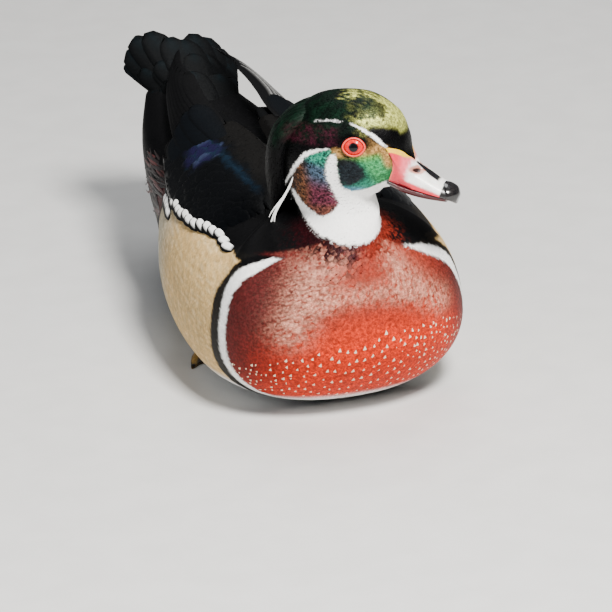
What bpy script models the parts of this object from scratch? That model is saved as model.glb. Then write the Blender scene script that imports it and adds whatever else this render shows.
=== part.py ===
"""Male wood duck at rest on its belly, life size, head turned to its left.

Metres, +Z up.  The bird faces -Y, its left side is at +X, and the floor is z = 0 under the belly.
Every sub-part is a loft of named stations, so the numbers below are places on the bird.
"""

from math import cos, pi, radians, sin

import bmesh
import bpy
import numpy as np

# Driving dimensions
NECK_Y = -0.072
HEAD_YAW = radians(55.0)
GAP = 0.0003
CREST_GAP = 0.0010
EYE_RADIUS = 0.0060
EYE_FORWARD = 0.0180
EYE_SIDE = 0.0180
EYE_HEIGHT = 0.1495
EYE_POLE = 0.06
SHARP_ANGLE = radians(50.0)
CUTTER_RISE = 0.015
TAIL_SWAY = -0.009
SWAY_START = 0.060
SWAY_RUN = 0.130

# Body stations, tail to bill, as if the head looked straight ahead.
# Each row: name, back line (y, z), belly line (y, z), half width,
# level of the widest place, roundness, share of the head's turn.
BODY = [
    ("covert end", (0.188, 0.1055), (0.184, 0.0880), 0.0240, 0.50, 2.0, 0.0),
    ("tail root", (0.156, 0.1010), (0.154, 0.0620), 0.0370, 0.50, 2.1, 0.0),
    ("vent", (0.120, 0.0965), (0.126, 0.0400), 0.0465, 0.52, 2.2, 0.0),
    ("hip", (0.082, 0.0985), (0.092, 0.0200), 0.0545, 0.50, 2.3, 0.0),
    ("loin", (0.041, 0.1035), (0.048, 0.0040), 0.0670, 0.45, 2.4, 0.0),
    ("midbody", (0.000, 0.1060), (0.000, -0.0030), 0.0725, 0.42, 2.4, 0.0),
    ("shoulder", (-0.034, 0.1040), (-0.050, -0.0020), 0.0725, 0.42, 2.4, 0.0),
    ("chest", (-0.052, 0.1040), (-0.092, 0.0100), 0.0670, 0.45, 2.3, 0.0),
    ("breast", (-0.054, 0.1070), (-0.115, 0.0400), 0.0570, 0.50, 2.2, 0.0),
    ("neck base", (-0.049, 0.1100), (-0.114, 0.0740), 0.0385, 0.50, 2.1, 0.0),
    ("neck", (-0.044, 0.1150), (-0.1045, 0.0975), 0.0212, 0.50, 2.0, 0.08),
    ("nape", (-0.043, 0.1240), (-0.0950, 0.1085), 0.0222, 0.50, 2.0, 0.62),
    ("hind head", (-0.045, 0.1490), (-0.0925, 0.1160), 0.0245, 0.50, 2.0, 1.0),
    ("crown", (-0.062, 0.1690), (-0.0970, 0.1190), 0.0245, 0.50, 2.0, 1.0),
    ("forehead", (-0.0885, 0.1730), (-0.0995, 0.1215), 0.0220, 0.50, 2.0, 1.0),
    ("brow", (-0.1062, 0.1650), (-0.1025, 0.1222), 0.0168, 0.50, 2.0, 1.0),
    ("front", (-0.1128, 0.1535), (-0.1055, 0.1230), 0.0122, 0.50, 2.0, 1.0),
    ("bill root", (-0.1148, 0.1435), (-0.1080, 0.1242), 0.0088, 0.50, 2.0, 1.0),
]
RUMP_CUT = 3.0
BREAST_CUT = 7.0
NECK_CUT = 9.3
HEAD_CUT = 11.2
BILL_CUT = 17.0

# Bill stations: name, ridge (y, z), cutting edge (y, z), half width, level, roundness, share of the turn
BILL_UPPER = [
    ("root", (-0.1040, 0.1490), (-0.1040, 0.1286), 0.0130, 0.30, 2.3, 1.0),
    ("base", (-0.1160, 0.1375), (-0.1115, 0.1242), 0.0110, 0.28, 2.2, 1.0),
    ("nostril", (-0.1240, 0.1316), (-0.1215, 0.1213), 0.0096, 0.25, 2.1, 1.0),
    ("middle", (-0.1303, 0.1272), (-0.1300, 0.1193), 0.0084, 0.24, 2.1, 1.0),
    ("nail root", (-0.1348, 0.1247), (-0.1345, 0.1184), 0.0075, 0.24, 2.2, 1.0),
]
BILL_NAIL = [
    ("nail root", (-0.1352, 0.1246), (-0.1349, 0.1183), 0.0074, 0.24, 2.2, 1.0),
    ("nail", (-0.1383, 0.1230), (-0.1368, 0.1170), 0.0060, 0.32, 2.2, 1.0),
    ("nail tip", (-0.1400, 0.1198), (-0.1380, 0.1152), 0.0032, 0.50, 2.0, 1.0),
    ("hook", (-0.1396, 0.1172), (-0.1386, 0.1146), 0.0012, 0.50, 2.0, 1.0),
]
BILL_LOWER = [
    ("root", (-0.1042, 0.1281), (-0.1042, 0.1240), 0.0096, 0.75, 2.0, 1.0),
    ("base", (-0.1130, 0.1233), (-0.1125, 0.1198), 0.0090, 0.75, 2.0, 1.0),
    ("middle", (-0.1230, 0.1205), (-0.1225, 0.1170), 0.0076, 0.75, 2.0, 1.0),
    ("tip", (-0.1345, 0.1176), (-0.1340, 0.1154), 0.0046, 0.75, 2.0, 1.0),
]
BILL_POCKET = [
    ("root", (-0.1036, 0.1496), (-0.1036, 0.1234), 0.0134, 0.42, 2.4, 1.0),
    ("base", (-0.1160, 0.1381), (-0.1120, 0.1192), 0.0114, 0.42, 2.4, 1.0),
    ("nostril", (-0.1240, 0.1322), (-0.1220, 0.1164), 0.0100, 0.42, 2.4, 1.0),
]
CREST = [
    ("crown", (-0.0700, 0.1740), (-0.0720, 0.1680), 0.0080, 0.45, 2.0, 1.0),
    ("hind crown", (-0.0530, 0.1675), (-0.0620, 0.1560), 0.0170, 0.45, 2.0, 1.0),
    ("back", (-0.0410, 0.1530), (-0.0560, 0.1460), 0.0200, 0.45, 2.0, 1.0),
    ("nape", (-0.0362, 0.1345), (-0.0530, 0.1320), 0.0190, 0.45, 2.0, 1.0),
    ("tassel", (-0.0366, 0.1170), (-0.0500, 0.1190), 0.0140, 0.50, 2.0, 1.0),
    ("crest tip", (-0.0378, 0.1000), (-0.0420, 0.1045), 0.0060, 0.50, 2.0, 1.0),
]

# Folded wing stations, left wing: name, y, inner edge (x, z), outer edge (x, z), crown height, thickness
WING = [
    ("wrist", -0.045, (0.017, 0.1035), (0.050, 0.0905), 0.0035, 0.0030),
    ("coverts", -0.020, (0.011, 0.1075), (0.0580, 0.0870), 0.0060, 0.0060),
    ("speculum", 0.020, (0.008, 0.1085), (0.0600, 0.0840), 0.0070, 0.0070),
    ("tertials", 0.060, (0.006, 0.1085), (0.0560, 0.0850), 0.0070, 0.0065),
    ("primaries", 0.100, (0.010, 0.1090), (0.0470, 0.0920), 0.0050, 0.0045),
    ("outer hand", 0.130, (0.014, 0.1120), (0.0380, 0.0995), 0.0030, 0.0030),
    ("fingers", 0.165, (0.011, 0.1165), (0.0270, 0.1090), 0.0020, 0.0020),
    ("wing tip", 0.197, (0.007, 0.1205), (0.0120, 0.1180), 0.0004, 0.0012),
]
HAND_CUT = 4.6
WING_EDGE_SHARE = 0.25

# Tail fan: spread from a pivot inside the rump
TAIL_PIVOT = (-0.005, 0.100, 0.0830)
TAIL_ROOT = 0.044
TAIL_LENGTH = 0.135
TAIL_EDGE_SHARE = 0.86
TAIL_SPREAD = radians(15.5)
TAIL_PITCH = radians(16.0)
TAIL_DROOP = 0.008
TAIL_THICK_ROOT = 0.0060
TAIL_THICK_TIP = 0.0012
TAIL_EDGE_ROUND = 2.4
TAIL_ROOT_DROOP = 0.4
TAIL_THINNING = 0.6
TAIL_EDGE_THIN = 0.5

# Tucked legs, left side
LEG_PATH = [(0.030, 0.070, 0.030), (0.036, 0.082, 0.012), (0.038, 0.078, 0.0052), (0.041, 0.062, 0.0042),
            (0.0445, 0.0475, 0.0036)]
LEG_RADII = [0.0042, 0.0040, 0.0037, 0.0029, 0.0030]
FOOT_JOINT = (0.0447, 0.0450)
TOE_ANGLES = (radians(-13.0), radians(5.0), radians(24.0))
TOE_LENGTHS = (0.042, 0.050, 0.044)
TOE_HEIGHT = 0.0040
WEB_LENGTH = 0.036
WEB_THICK = 0.0012
TOE_SHARE = 0.075
TOE_FADE = 0.72
OUTER_WEB_SHARE = 0.72
OUTER_EDGE_HEIGHT = 0.35
KNUCKLE_REACH = 0.16
FOOT_START = 0.0012
CUTTER_SPREAD = 60.0
LEG_REFERENCE = (0.0, 0.35, 1.0)

FINISH = {
    "trunk": ((0.020, 0.018, 0.022), 0.45),
    "breast": ((0.28, 0.055, 0.030), 0.50),
    "rump": ((0.014, 0.012, 0.014), 0.50),
    "neck": ((0.80, 0.80, 0.78), 0.60),
    "head": ((0.020, 0.055, 0.040), 0.35),
    "crest": ((0.015, 0.022, 0.022), 0.40),
    "wing": ((0.020, 0.035, 0.060), 0.35),
    "primaries": ((0.050, 0.050, 0.055), 0.45),
    "tail": ((0.010, 0.012, 0.014), 0.45),
    "bill_red": ((0.62, 0.07, 0.07), 0.30),
    "bill_pale": ((0.75, 0.55, 0.50), 0.35),
    "bill_nail": ((0.012, 0.012, 0.013), 0.25),
    "eye": ((0.55, 0.030, 0.020), 0.08),
    "leg": ((0.45, 0.30, 0.10), 0.50),
}


def clear_scene():
    """Start from an empty scene."""
    for thing in list(bpy.data.objects):
        bpy.data.objects.remove(thing, do_unlink=True)


def hermite(rows, place):
    """Smooth curve through the rows of a table; place runs from 0 at the first row."""
    rows = np.asarray(rows, float)
    slope = np.gradient(rows, axis=0)
    low = np.clip(np.floor(place).astype(int), 0, len(rows) - 2)
    u = (place - low)[:, None]
    from_a = 2 * u**3 - 3 * u**2 + 1
    to_b = 1 - from_a
    leave = u**3 - 2 * u**2 + u
    arrive = u**3 - u**2
    return from_a * rows[low] + leave * slope[low] + to_b * rows[low + 1] + arrive * slope[low + 1]


def sway(y):
    """Sideways drift of the rump, which the bird carries a little to its right."""
    share = np.clip((y - SWAY_START) / SWAY_RUN, 0.0, 1.0)
    return TAIL_SWAY * share**2 * (3 - 2 * share)


def rings(stations, places, sides, grow=0.0):
    """Rings of points: a superellipse between back line and belly line, turned with the head.

    grow moves each ring outwards in its own plane, for cutters that leave a gap.
    """
    table = [[*top, *low, half, level, power, turn] for _, top, low, half, level, power, turn in stations]
    q = hermite(table, np.asarray(places, float))
    top, low, half, level, power, turn = q[:, 0:2], q[:, 2:4], q[:, 4], q[:, 5], q[:, 6], q[:, 7] * HEAD_YAW
    spine = (top - low) / np.linalg.norm(top - low, axis=1, keepdims=True)
    middle = low + (top - low) * level[:, None]
    top = top + spine * grow
    low = low - spine * grow
    angle = np.linspace(0.0, 2 * pi, sides, endpoint=False)
    power = (2 / power)[:, None]
    rise = np.sign(np.cos(angle)) * np.abs(np.cos(angle)) ** power
    side = np.sign(np.sin(angle)) * np.abs(np.sin(angle)) ** power * (half + grow)[:, None]
    arm = np.where(rise[..., None] > 0, (top - middle)[:, None], (middle - low)[:, None])
    plane = middle[:, None] + arm * rise[..., None]
    ahead = NECK_Y - plane[..., 0]
    sine = np.sin(turn)[:, None]
    cosine = np.cos(turn)[:, None]
    x = ahead * sine + side * cosine
    y = NECK_Y - ahead * cosine + side * sine
    return np.stack([x + sway(y), y, np.maximum(plane[..., 1], 0.0)], axis=-1)


def pull_back(grid, row, step):
    """Move one end ring along the normal of its plane, so that two pieces cut there keep a gap."""
    ring = grid[row]
    normal = np.cross(ring - ring.mean(0), np.roll(ring, 1, axis=0) - ring.mean(0)).sum(0)
    normal /= np.linalg.norm(normal)
    inner = grid[row + 1] if row == 0 else grid[row - 1]
    if np.dot(inner.mean(0) - ring.mean(0), normal) < 0:
        normal = -normal
    grid[row] = ring + normal * step


def material(name, finish):
    """Plain coloured finish for one sub-part."""
    made = bpy.data.materials.new(name)
    made.use_nodes = True
    shader = made.node_tree.nodes["Principled BSDF"]
    colour, roughness = FINISH[finish]
    shader.inputs["Base Color"].default_value = (*colour, 1.0)
    shader.inputs["Roughness"].default_value = roughness
    shader.inputs["Metallic"].default_value = 0.0
    return made


def add_object(name, vertices, faces, finish):
    """Triangulated mesh object with its faces pointing out; a cutter has no finish."""
    mesh = bpy.data.meshes.new(name)
    mesh.from_pydata([tuple(v) for v in vertices], [], [tuple(f) for f in faces])
    work = bmesh.new()
    work.from_mesh(mesh)
    bmesh.ops.recalc_face_normals(work, faces=work.faces)
    bmesh.ops.triangulate(work, faces=work.faces)
    if work.calc_volume(signed=True) < 0:
        bmesh.ops.reverse_faces(work, faces=work.faces)
    work.to_mesh(mesh)
    work.free()
    mesh.shade_smooth()
    mesh.set_sharp_from_angle(angle=SHARP_ANGLE)
    made = bpy.data.objects.new(name, mesh)
    bpy.context.scene.collection.objects.link(made)
    if finish:
        mesh.materials.append(material(name + "_finish", finish))
    return made


def tube(name, grid, finish):
    """Closed solid from a grid of rings, with a fan of faces over each end."""
    count, sides = grid.shape[:2]
    vertices = list(grid.reshape(-1, 3))
    corner = np.arange(count * sides).reshape(count, sides)
    after = np.roll(corner, -1, axis=1)
    faces = list(np.stack([corner[:-1], after[:-1], after[1:], corner[1:]], axis=-1).reshape(-1, 4))
    for row in (0, count - 1):
        hub = len(vertices)
        vertices.append(grid[row].mean(0))
        faces.extend((hub, corner[row, k], after[row, k]) for k in range(sides))
    return add_object(name, vertices, faces, finish)


def cut(target, cutter):
    """Take the cutter out of the target and drop the cutter."""
    change = target.modifiers.new("cut", "BOOLEAN")
    change.operation = "DIFFERENCE"
    change.solver = "EXACT"
    change.object = cutter
    view = bpy.context.evaluated_depsgraph_get()
    shape = bpy.data.meshes.new_from_object(target.evaluated_get(view))
    target.modifiers.clear()
    target.data = shape
    bpy.data.objects.remove(cutter, do_unlink=True)


def body_piece(name, start, end, count, sides, finish, gap_start=GAP / 2, gap_end=GAP / 2):
    """Length of the body loft between two places, drawn back by half a gap at each cut."""
    grid = rings(BODY, np.linspace(start, end, count), sides)
    pull_back(grid, 0, gap_start)
    pull_back(grid, count - 1, gap_end)
    return tube(name, grid, finish)


def simple_loft(name, stations, count, sides, finish, grow=0.0):
    """Whole loft of a short table of stations."""
    return tube(name, rings(stations, np.linspace(0, len(stations) - 1, count), sides, grow), finish)


def in_head(ahead, side, height):
    """World place of a point given from the neck axis, side counted to the bird's right."""
    x = ahead * sin(HEAD_YAW) - side * cos(HEAD_YAW)
    y = NECK_Y - ahead * cos(HEAD_YAW) - side * sin(HEAD_YAW)
    return (x, y, height)


def ball(name, centre, radius, finish, segments=16, levels=9):
    """Sphere about the head's crosswise axis, closed at its poles by the end fans."""
    lean = np.linspace(EYE_POLE, pi - EYE_POLE, levels)
    angle = np.linspace(0, 2 * pi, segments, endpoint=False)
    across = np.array([-cos(HEAD_YAW), -sin(HEAD_YAW), 0.0])
    ahead = np.array([sin(HEAD_YAW), -cos(HEAD_YAW), 0.0])
    up = np.array([0.0, 0.0, 1.0])
    spoke = np.cos(angle)[:, None] * ahead + np.sin(angle)[:, None] * up
    sideways = np.cos(lean)[:, None, None] * across
    round_axis = np.sin(lean)[:, None, None] * spoke
    grid = np.array(centre) + radius * (sideways + round_axis)
    return tube(name, grid, finish)


def wing_ring_grid(places, hand, across=9, rise=0.0, drop=0.0, widen=0.0):
    """Rings round the folded wing: over its outer face, then back along its inner face."""
    table = [[y, *inner, *outer, crown, thick] for _, y, inner, outer, crown, thick in WING]
    q = hermite(table, np.asarray(places, float))
    y, inner, outer, crown, thick = q[:, 0], q[:, 1:3], q[:, 3:5], q[:, 5], q[:, 6]
    share = np.linspace(0.0, 1.0, across)
    chord = outer - inner
    unit = chord / np.linalg.norm(chord, axis=1, keepdims=True)
    inner = inner - unit * widen
    outer = outer + unit * widen
    chord = (outer - inner)[:, None]
    normal = np.stack([-unit[:, 1], unit[:, 0]], axis=-1)[:, None]
    arch = np.sin(pi * share)[None, :, None]
    skin = inner[:, None] + chord * share[None, :, None] + normal * arch * crown[:, None, None]
    body = (WING_EDGE_SHARE + (1 - WING_EDGE_SHARE) * arch) * thick[:, None, None]
    face = skin + normal * rise
    back = skin - normal * (body + drop)
    loop = np.concatenate([face, back[:, ::-1]], axis=1)
    level = np.broadcast_to(y[:, None], loop.shape[:2])
    return np.stack([hand * loop[..., 0], level, loop[..., 1]], axis=-1)


def wing_cutter(hand):
    """Pocket for a folded wing: the wing with a gap below it and open space above it."""
    grid = wing_ring_grid(np.linspace(0, HAND_CUT, 15), hand, rise=CUTTER_RISE, drop=GAP, widen=GAP)
    grid[0, :, 1] -= GAP
    return tube("wing_cutter", grid, None)


def tail_grid(spread_steps, length_steps, grow=0.0):
    """Tail vane surface as two sheets, upper and lower, over a fan of angle and distance."""
    angle = np.linspace(-1.0, 1.0, spread_steps)
    reach = np.linspace(0.0, 1.0, length_steps)
    rim = 1.0 - (1.0 - TAIL_EDGE_SHARE) * np.abs(angle) ** TAIL_EDGE_ROUND
    radius = TAIL_ROOT + (TAIL_LENGTH * rim[:, None] - TAIL_ROOT) * reach[None]
    turn = angle[:, None] * TAIL_SPREAD
    x = TAIL_PIVOT[0] + radius * np.sin(turn)
    run = radius * np.cos(turn)
    y = TAIL_PIVOT[1] + run * cos(TAIL_PITCH)
    droop = TAIL_DROOP * angle[:, None] ** 2 * (TAIL_ROOT_DROOP + (1 - TAIL_ROOT_DROOP) * reach[None])
    z = TAIL_PIVOT[2] + run * sin(TAIL_PITCH) - droop
    thick = TAIL_THICK_ROOT + (TAIL_THICK_TIP - TAIL_THICK_ROOT) * reach[None] ** TAIL_THINNING
    thick = thick * (1.0 - TAIL_EDGE_THIN * np.abs(angle[:, None]) ** 3)
    upper = np.stack([x, y, z + thick / 2 + grow], axis=-1)
    lower = np.stack([x, y, z - thick / 2 - grow], axis=-1)
    return upper, lower


def two_sheet_solid(name, upper, lower, finish):
    """Closed solid between two grids that share their outline's order."""
    rows, columns = upper.shape[:2]
    top = np.arange(rows * columns).reshape(rows, columns)
    low = top + rows * columns
    upper_quads = np.stack([top[:-1, :-1], top[1:, :-1], top[1:, 1:], top[:-1, 1:]], axis=-1)
    lower_quads = np.stack([low[:-1, :-1], low[:-1, 1:], low[1:, 1:], low[1:, :-1]], axis=-1)
    faces = list(upper_quads.reshape(-1, 4)) + list(lower_quads.reshape(-1, 4))
    rim = np.concatenate([top[0, :-1], top[:-1, -1], top[-1, :0:-1], top[:0:-1, 0]])
    following = np.roll(rim, -1)
    below = rim + rows * columns
    below_following = following + rows * columns
    faces += list(np.stack([rim, following, below_following, below], axis=-1))
    vertices = np.concatenate([upper.reshape(-1, 3), lower.reshape(-1, 3)])
    return add_object(name, vertices, faces, finish)


def path_tube(name, path, radii, hand, sides, finish, grow=0.0):
    """Round tube of changing radius along a smooth path; its underside never passes the floor."""
    steps = np.linspace(0, len(path) - 1, 2 * len(path) + 1)
    line = hermite([[hand * x, y, z, r] for (x, y, z), r in zip(path, radii)], steps)
    centre, radius = line[:, :3], line[:, 3] + grow
    ahead = np.gradient(centre, axis=0)
    ahead /= np.linalg.norm(ahead, axis=1, keepdims=True)
    side = np.cross(ahead, np.array(LEG_REFERENCE))
    side /= np.linalg.norm(side, axis=1, keepdims=True)
    up = np.cross(side, ahead)
    angle = np.linspace(0, 2 * pi, sides, endpoint=False)
    wheel = np.cos(angle)[None, :, None] * side[:, None] + np.sin(angle)[None, :, None] * up[:, None]
    grid = centre[:, None] + radius[:, None, None] * wheel
    grid[..., 2] = np.maximum(grid[..., 2], 0.0)
    return tube(name, grid, finish)


def foot(name, hand, finish, grow=0.0):
    """Webbed foot laid flat: toes fan forward from one joint, web scalloped between them, sole at z = 0."""
    first, last = TOE_ANGLES[0], TOE_ANGLES[-1]
    margin = TOE_SHARE * (1.0 + CUTTER_SPREAD * grow)
    turn = np.linspace(first - margin, last + margin, 23)
    reach = np.linspace(0.0, 1.0, 8)
    on_toe = np.stack([np.exp(-((turn - a) / TOE_SHARE) ** 2) for a in TOE_ANGLES])
    length = WEB_LENGTH * np.ones_like(turn)
    for weight, toe in zip(on_toe, TOE_LENGTHS):
        length = length + (toe - WEB_LENGTH) * weight
    edge = np.clip(np.minimum(turn - first, last - turn) / TOE_SHARE + 1.0, 0.0, 1.0)
    length = length * (OUTER_WEB_SHARE + (1 - OUTER_WEB_SHARE) * edge) + grow
    start = FOOT_START - grow
    radius = start + (length[:, None] - start) * reach[None]
    x = FOOT_JOINT[0] + radius * np.sin(turn)[:, None]
    y = FOOT_JOINT[1] - radius * np.cos(turn)[:, None]
    ridge = on_toe.max(0)[:, None] * (TOE_HEIGHT - WEB_THICK) * (1.0 - TOE_FADE * reach[None] ** 1.5)
    knuckle = (TOE_HEIGHT - WEB_THICK) * np.exp(-(reach[None] / KNUCKLE_REACH) ** 2)
    height = OUTER_EDGE_HEIGHT + (1 - OUTER_EDGE_HEIGHT) * edge[:, None]
    z = WEB_THICK + np.maximum(ridge, knuckle) * height + grow
    upper = np.stack([hand * x, y, z], axis=-1)
    lower = np.stack([hand * x, y, np.full_like(z, -grow)], axis=-1)
    return two_sheet_solid(name, upper, lower, finish)


def build():
    """Make every sub-part; each cut leaves the gap between two pieces that touch."""
    clear_scene()
    rump = body_piece("rump", 0.0, RUMP_CUT, 10, 24, "rump", gap_start=0.0)
    trunk = body_piece("trunk", RUMP_CUT, BREAST_CUT, 16, 30, "trunk")
    body_piece("breast", BREAST_CUT, NECK_CUT, 9, 30, "breast")
    body_piece("neck", NECK_CUT, HEAD_CUT, 8, 26, "neck")
    head = body_piece("head", HEAD_CUT, BILL_CUT, 17, 26, "head")

    crest = simple_loft("crest", CREST, 10, 16, "crest")
    cut(crest, tube("breast_cutter", rings(BODY, np.linspace(6.0, 9.6, 18), 30, 2 * CREST_GAP), None))
    cut(crest, tube("head_cutter", rings(BODY, np.linspace(8.8, BILL_CUT, 28), 26, CREST_GAP), None))

    simple_loft("bill_upper", BILL_UPPER, 9, 18, "bill_pale")
    cut(head, simple_loft("bill_cutter", BILL_POCKET, 6, 18, None))
    simple_loft("bill_nail", BILL_NAIL, 6, 12, "bill_nail")
    simple_loft("bill_lower", BILL_LOWER, 6, 14, "bill_red")

    for side_name, hand in (("left", 1), ("right", -1)):
        eye_place = in_head(EYE_FORWARD, -hand * EYE_SIDE, EYE_HEIGHT)
        ball("eye_" + side_name, eye_place, EYE_RADIUS, "eye")
        cut(head, ball("socket", eye_place, EYE_RADIUS + GAP, None))

        tube("wing_" + side_name, wing_ring_grid(np.linspace(0, HAND_CUT, 13), hand), "wing")
        tip = wing_ring_grid(np.linspace(HAND_CUT, len(WING) - 1, 7), hand, across=7)
        pull_back(tip, 0, GAP)
        tube("primaries_" + side_name, tip, "primaries")
        cut(trunk, wing_cutter(hand))
        cut(rump, wing_cutter(hand))

        path_tube("leg_" + side_name, LEG_PATH, LEG_RADII, hand, 10, "leg")
        cut(trunk, path_tube("leg_cutter", LEG_PATH, LEG_RADII, hand, 10, None, GAP))
        cut(rump, path_tube("leg_cutter", LEG_PATH, LEG_RADII, hand, 10, None, GAP))
        foot("foot_" + side_name, hand, "leg")
        cut(trunk, foot("foot_cutter", hand, None, GAP))

    two_sheet_solid("tail", *tail_grid(15, 7), "tail")
    cut(rump, two_sheet_solid("tail_cutter", *tail_grid(15, 7, GAP), None))


build()
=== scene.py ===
"""Male wood duck in full plumage, life size, at rest on its belly with its head turned to its left.

Metres, +Z up.  The bird faces -Y, its left side is at +X, and the floor is z = 0.
The plumage is a skin with thin solid feathers laid over it in rows.  Skin and feathers share one
function for their colours, which are worked out from places on the bird.
"""

from math import cos, pi, radians, sin

import bpy
import numpy as np
from mathutils import Matrix


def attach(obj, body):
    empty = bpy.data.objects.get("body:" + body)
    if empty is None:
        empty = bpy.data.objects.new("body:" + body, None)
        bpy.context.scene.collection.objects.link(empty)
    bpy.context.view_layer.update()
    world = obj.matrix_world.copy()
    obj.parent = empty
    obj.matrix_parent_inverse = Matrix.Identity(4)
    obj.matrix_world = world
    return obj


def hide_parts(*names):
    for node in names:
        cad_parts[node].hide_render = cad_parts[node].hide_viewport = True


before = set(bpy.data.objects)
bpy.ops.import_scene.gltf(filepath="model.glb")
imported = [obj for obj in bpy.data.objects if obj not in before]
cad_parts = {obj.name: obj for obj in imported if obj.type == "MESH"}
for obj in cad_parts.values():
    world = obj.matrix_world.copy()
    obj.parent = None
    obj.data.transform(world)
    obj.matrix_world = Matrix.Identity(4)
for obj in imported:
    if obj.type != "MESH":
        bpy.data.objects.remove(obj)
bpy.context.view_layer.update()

# Driving dimensions in metres, shared with the solids
MM = 0.001
NECK_Y = -0.072
HEAD_YAW = radians(55.0)
TAIL_SWAY = -0.009
SWAY_START = 0.060
SWAY_RUN = 0.130

# Body stations, tail to bill, as if the head looked straight ahead: back line (y, z), belly line (y, z),
# half width, level of the widest place, roundness, share of the head's turn.
BODY = [
    ((0.188, 0.1055), (0.184, 0.0880), 0.0240, 0.50, 2.0, 0.0),
    ((0.156, 0.1010), (0.154, 0.0620), 0.0370, 0.50, 2.1, 0.0),
    ((0.120, 0.0965), (0.126, 0.0400), 0.0465, 0.52, 2.2, 0.0),
    ((0.082, 0.0985), (0.092, 0.0200), 0.0545, 0.50, 2.3, 0.0),
    ((0.041, 0.1035), (0.048, 0.0040), 0.0670, 0.45, 2.4, 0.0),
    ((0.000, 0.1060), (0.000, -0.0030), 0.0725, 0.42, 2.4, 0.0),
    ((-0.034, 0.1040), (-0.050, -0.0020), 0.0725, 0.42, 2.4, 0.0),
    ((-0.052, 0.1040), (-0.092, 0.0100), 0.0670, 0.45, 2.3, 0.0),
    ((-0.054, 0.1070), (-0.115, 0.0400), 0.0570, 0.50, 2.2, 0.0),
    ((-0.049, 0.1100), (-0.114, 0.0740), 0.0385, 0.50, 2.1, 0.0),
    ((-0.044, 0.1150), (-0.1045, 0.0975), 0.0212, 0.50, 2.0, 0.08),
    ((-0.0425, 0.1240), (-0.0950, 0.1085), 0.0222, 0.50, 2.0, 0.62),
    ((-0.0445, 0.1490), (-0.0925, 0.1160), 0.0245, 0.50, 2.0, 1.0),
    ((-0.062, 0.1690), (-0.0970, 0.1190), 0.0245, 0.50, 2.0, 1.0),
    ((-0.0885, 0.1730), (-0.0995, 0.1215), 0.0220, 0.50, 2.0, 1.0),
    ((-0.1062, 0.1650), (-0.1025, 0.1222), 0.0168, 0.50, 2.0, 1.0),
    ((-0.1128, 0.1535), (-0.1055, 0.1230), 0.0122, 0.50, 2.0, 1.0),
    ((-0.1148, 0.1435), (-0.1080, 0.1242), 0.0088, 0.50, 2.0, 1.0),
    ((-0.1168, 0.1376), (-0.1095, 0.1250), 0.0070, 0.50, 2.0, 1.0),
]
BILL_END = 18.0

# Crest and bill, in the same order as a body station
CREST = [
    ((-0.0700, 0.1690), (-0.0720, 0.1630), 0.0070, 0.45, 2.0, 1.0),
    ((-0.0540, 0.1650), (-0.0620, 0.1545), 0.0165, 0.45, 2.0, 1.0),
    ((-0.0410, 0.1530), (-0.0560, 0.1460), 0.0200, 0.45, 2.0, 1.0),
    ((-0.0362, 0.1345), (-0.0530, 0.1320), 0.0190, 0.45, 2.0, 1.0),
    ((-0.0366, 0.1170), (-0.0500, 0.1190), 0.0140, 0.50, 2.0, 1.0),
    ((-0.0385, 0.1000), (-0.0440, 0.1035), 0.0060, 0.50, 2.0, 1.0),
]

BILL_UPPER = [
    ((-0.1040, 0.1490), (-0.1040, 0.1286), 0.0130, 0.30, 2.3, 1.0),
    ((-0.1160, 0.1375), (-0.1115, 0.1242), 0.0110, 0.28, 2.2, 1.0),
    ((-0.1240, 0.1316), (-0.1215, 0.1213), 0.0096, 0.25, 2.1, 1.0),
    ((-0.1303, 0.1272), (-0.1300, 0.1193), 0.0084, 0.24, 2.1, 1.0),
    ((-0.1348, 0.1247), (-0.1345, 0.1184), 0.0075, 0.24, 2.2, 1.0),
]
BILL_NAIL = [
    ((-0.1326, 0.1262), (-0.1318, 0.1200), 0.0056, 0.24, 2.2, 1.0),
    ((-0.1350, 0.1255), (-0.1346, 0.1178), 0.0076, 0.26, 2.2, 1.0),
    ((-0.1386, 0.1236), (-0.1368, 0.1163), 0.0064, 0.34, 2.2, 1.0),
    ((-0.1403, 0.1200), (-0.1380, 0.1148), 0.0036, 0.50, 2.0, 1.0),
    ((-0.1396, 0.1172), (-0.1386, 0.1146), 0.0012, 0.50, 2.0, 1.0),
]
BILL_LOWER = [
    ((-0.1042, 0.1292), (-0.1042, 0.1242), 0.0108, 0.75, 2.2, 1.0),
    ((-0.1130, 0.1254), (-0.1125, 0.1202), 0.0104, 0.80, 2.4, 1.0),
    ((-0.1230, 0.1225), (-0.1225, 0.1175), 0.0090, 0.80, 2.4, 1.0),
    ((-0.1345, 0.1194), (-0.1340, 0.1160), 0.0068, 0.80, 2.4, 1.0),
]

# Folded wing, left side: y, inner edge (x, z), outer edge (x, z), height of the arch
WING = [
    (-0.045, 0.017, 0.1035, 0.050, 0.0905, 0.0035),
    (-0.020, 0.011, 0.1075, 0.0580, 0.0870, 0.0060),
    (0.020, 0.008, 0.1085, 0.0600, 0.0840, 0.0070),
    (0.060, 0.006, 0.1085, 0.0560, 0.0850, 0.0070),
    (0.100, 0.010, 0.1090, 0.0470, 0.0920, 0.0050),
    (0.130, 0.014, 0.1120, 0.0380, 0.0995, 0.0030),
    (0.165, 0.011, 0.1165, 0.0270, 0.1090, 0.0020),
    (0.197, 0.007, 0.1205, 0.0120, 0.1180, 0.0004),
]
HAND_START = 3.6

# Tail fan: spread from a pivot inside the rump
TAIL_PIVOT = (-0.005, 0.100, 0.0830)
TAIL_ROOT = 0.036
TAIL_LENGTH = 0.135
TAIL_EDGE_SHARE = 0.86
TAIL_SPREAD = radians(15.5)
TAIL_PITCH = radians(16.0)
TAIL_DROOP = 0.008
TAIL_NOTCH = [17.0, 11.0, 7.0, 2.0, 6.5, 18.0, 22.0, 14.5, 14.5, 19.0, 24.0, 29.0]

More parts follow.
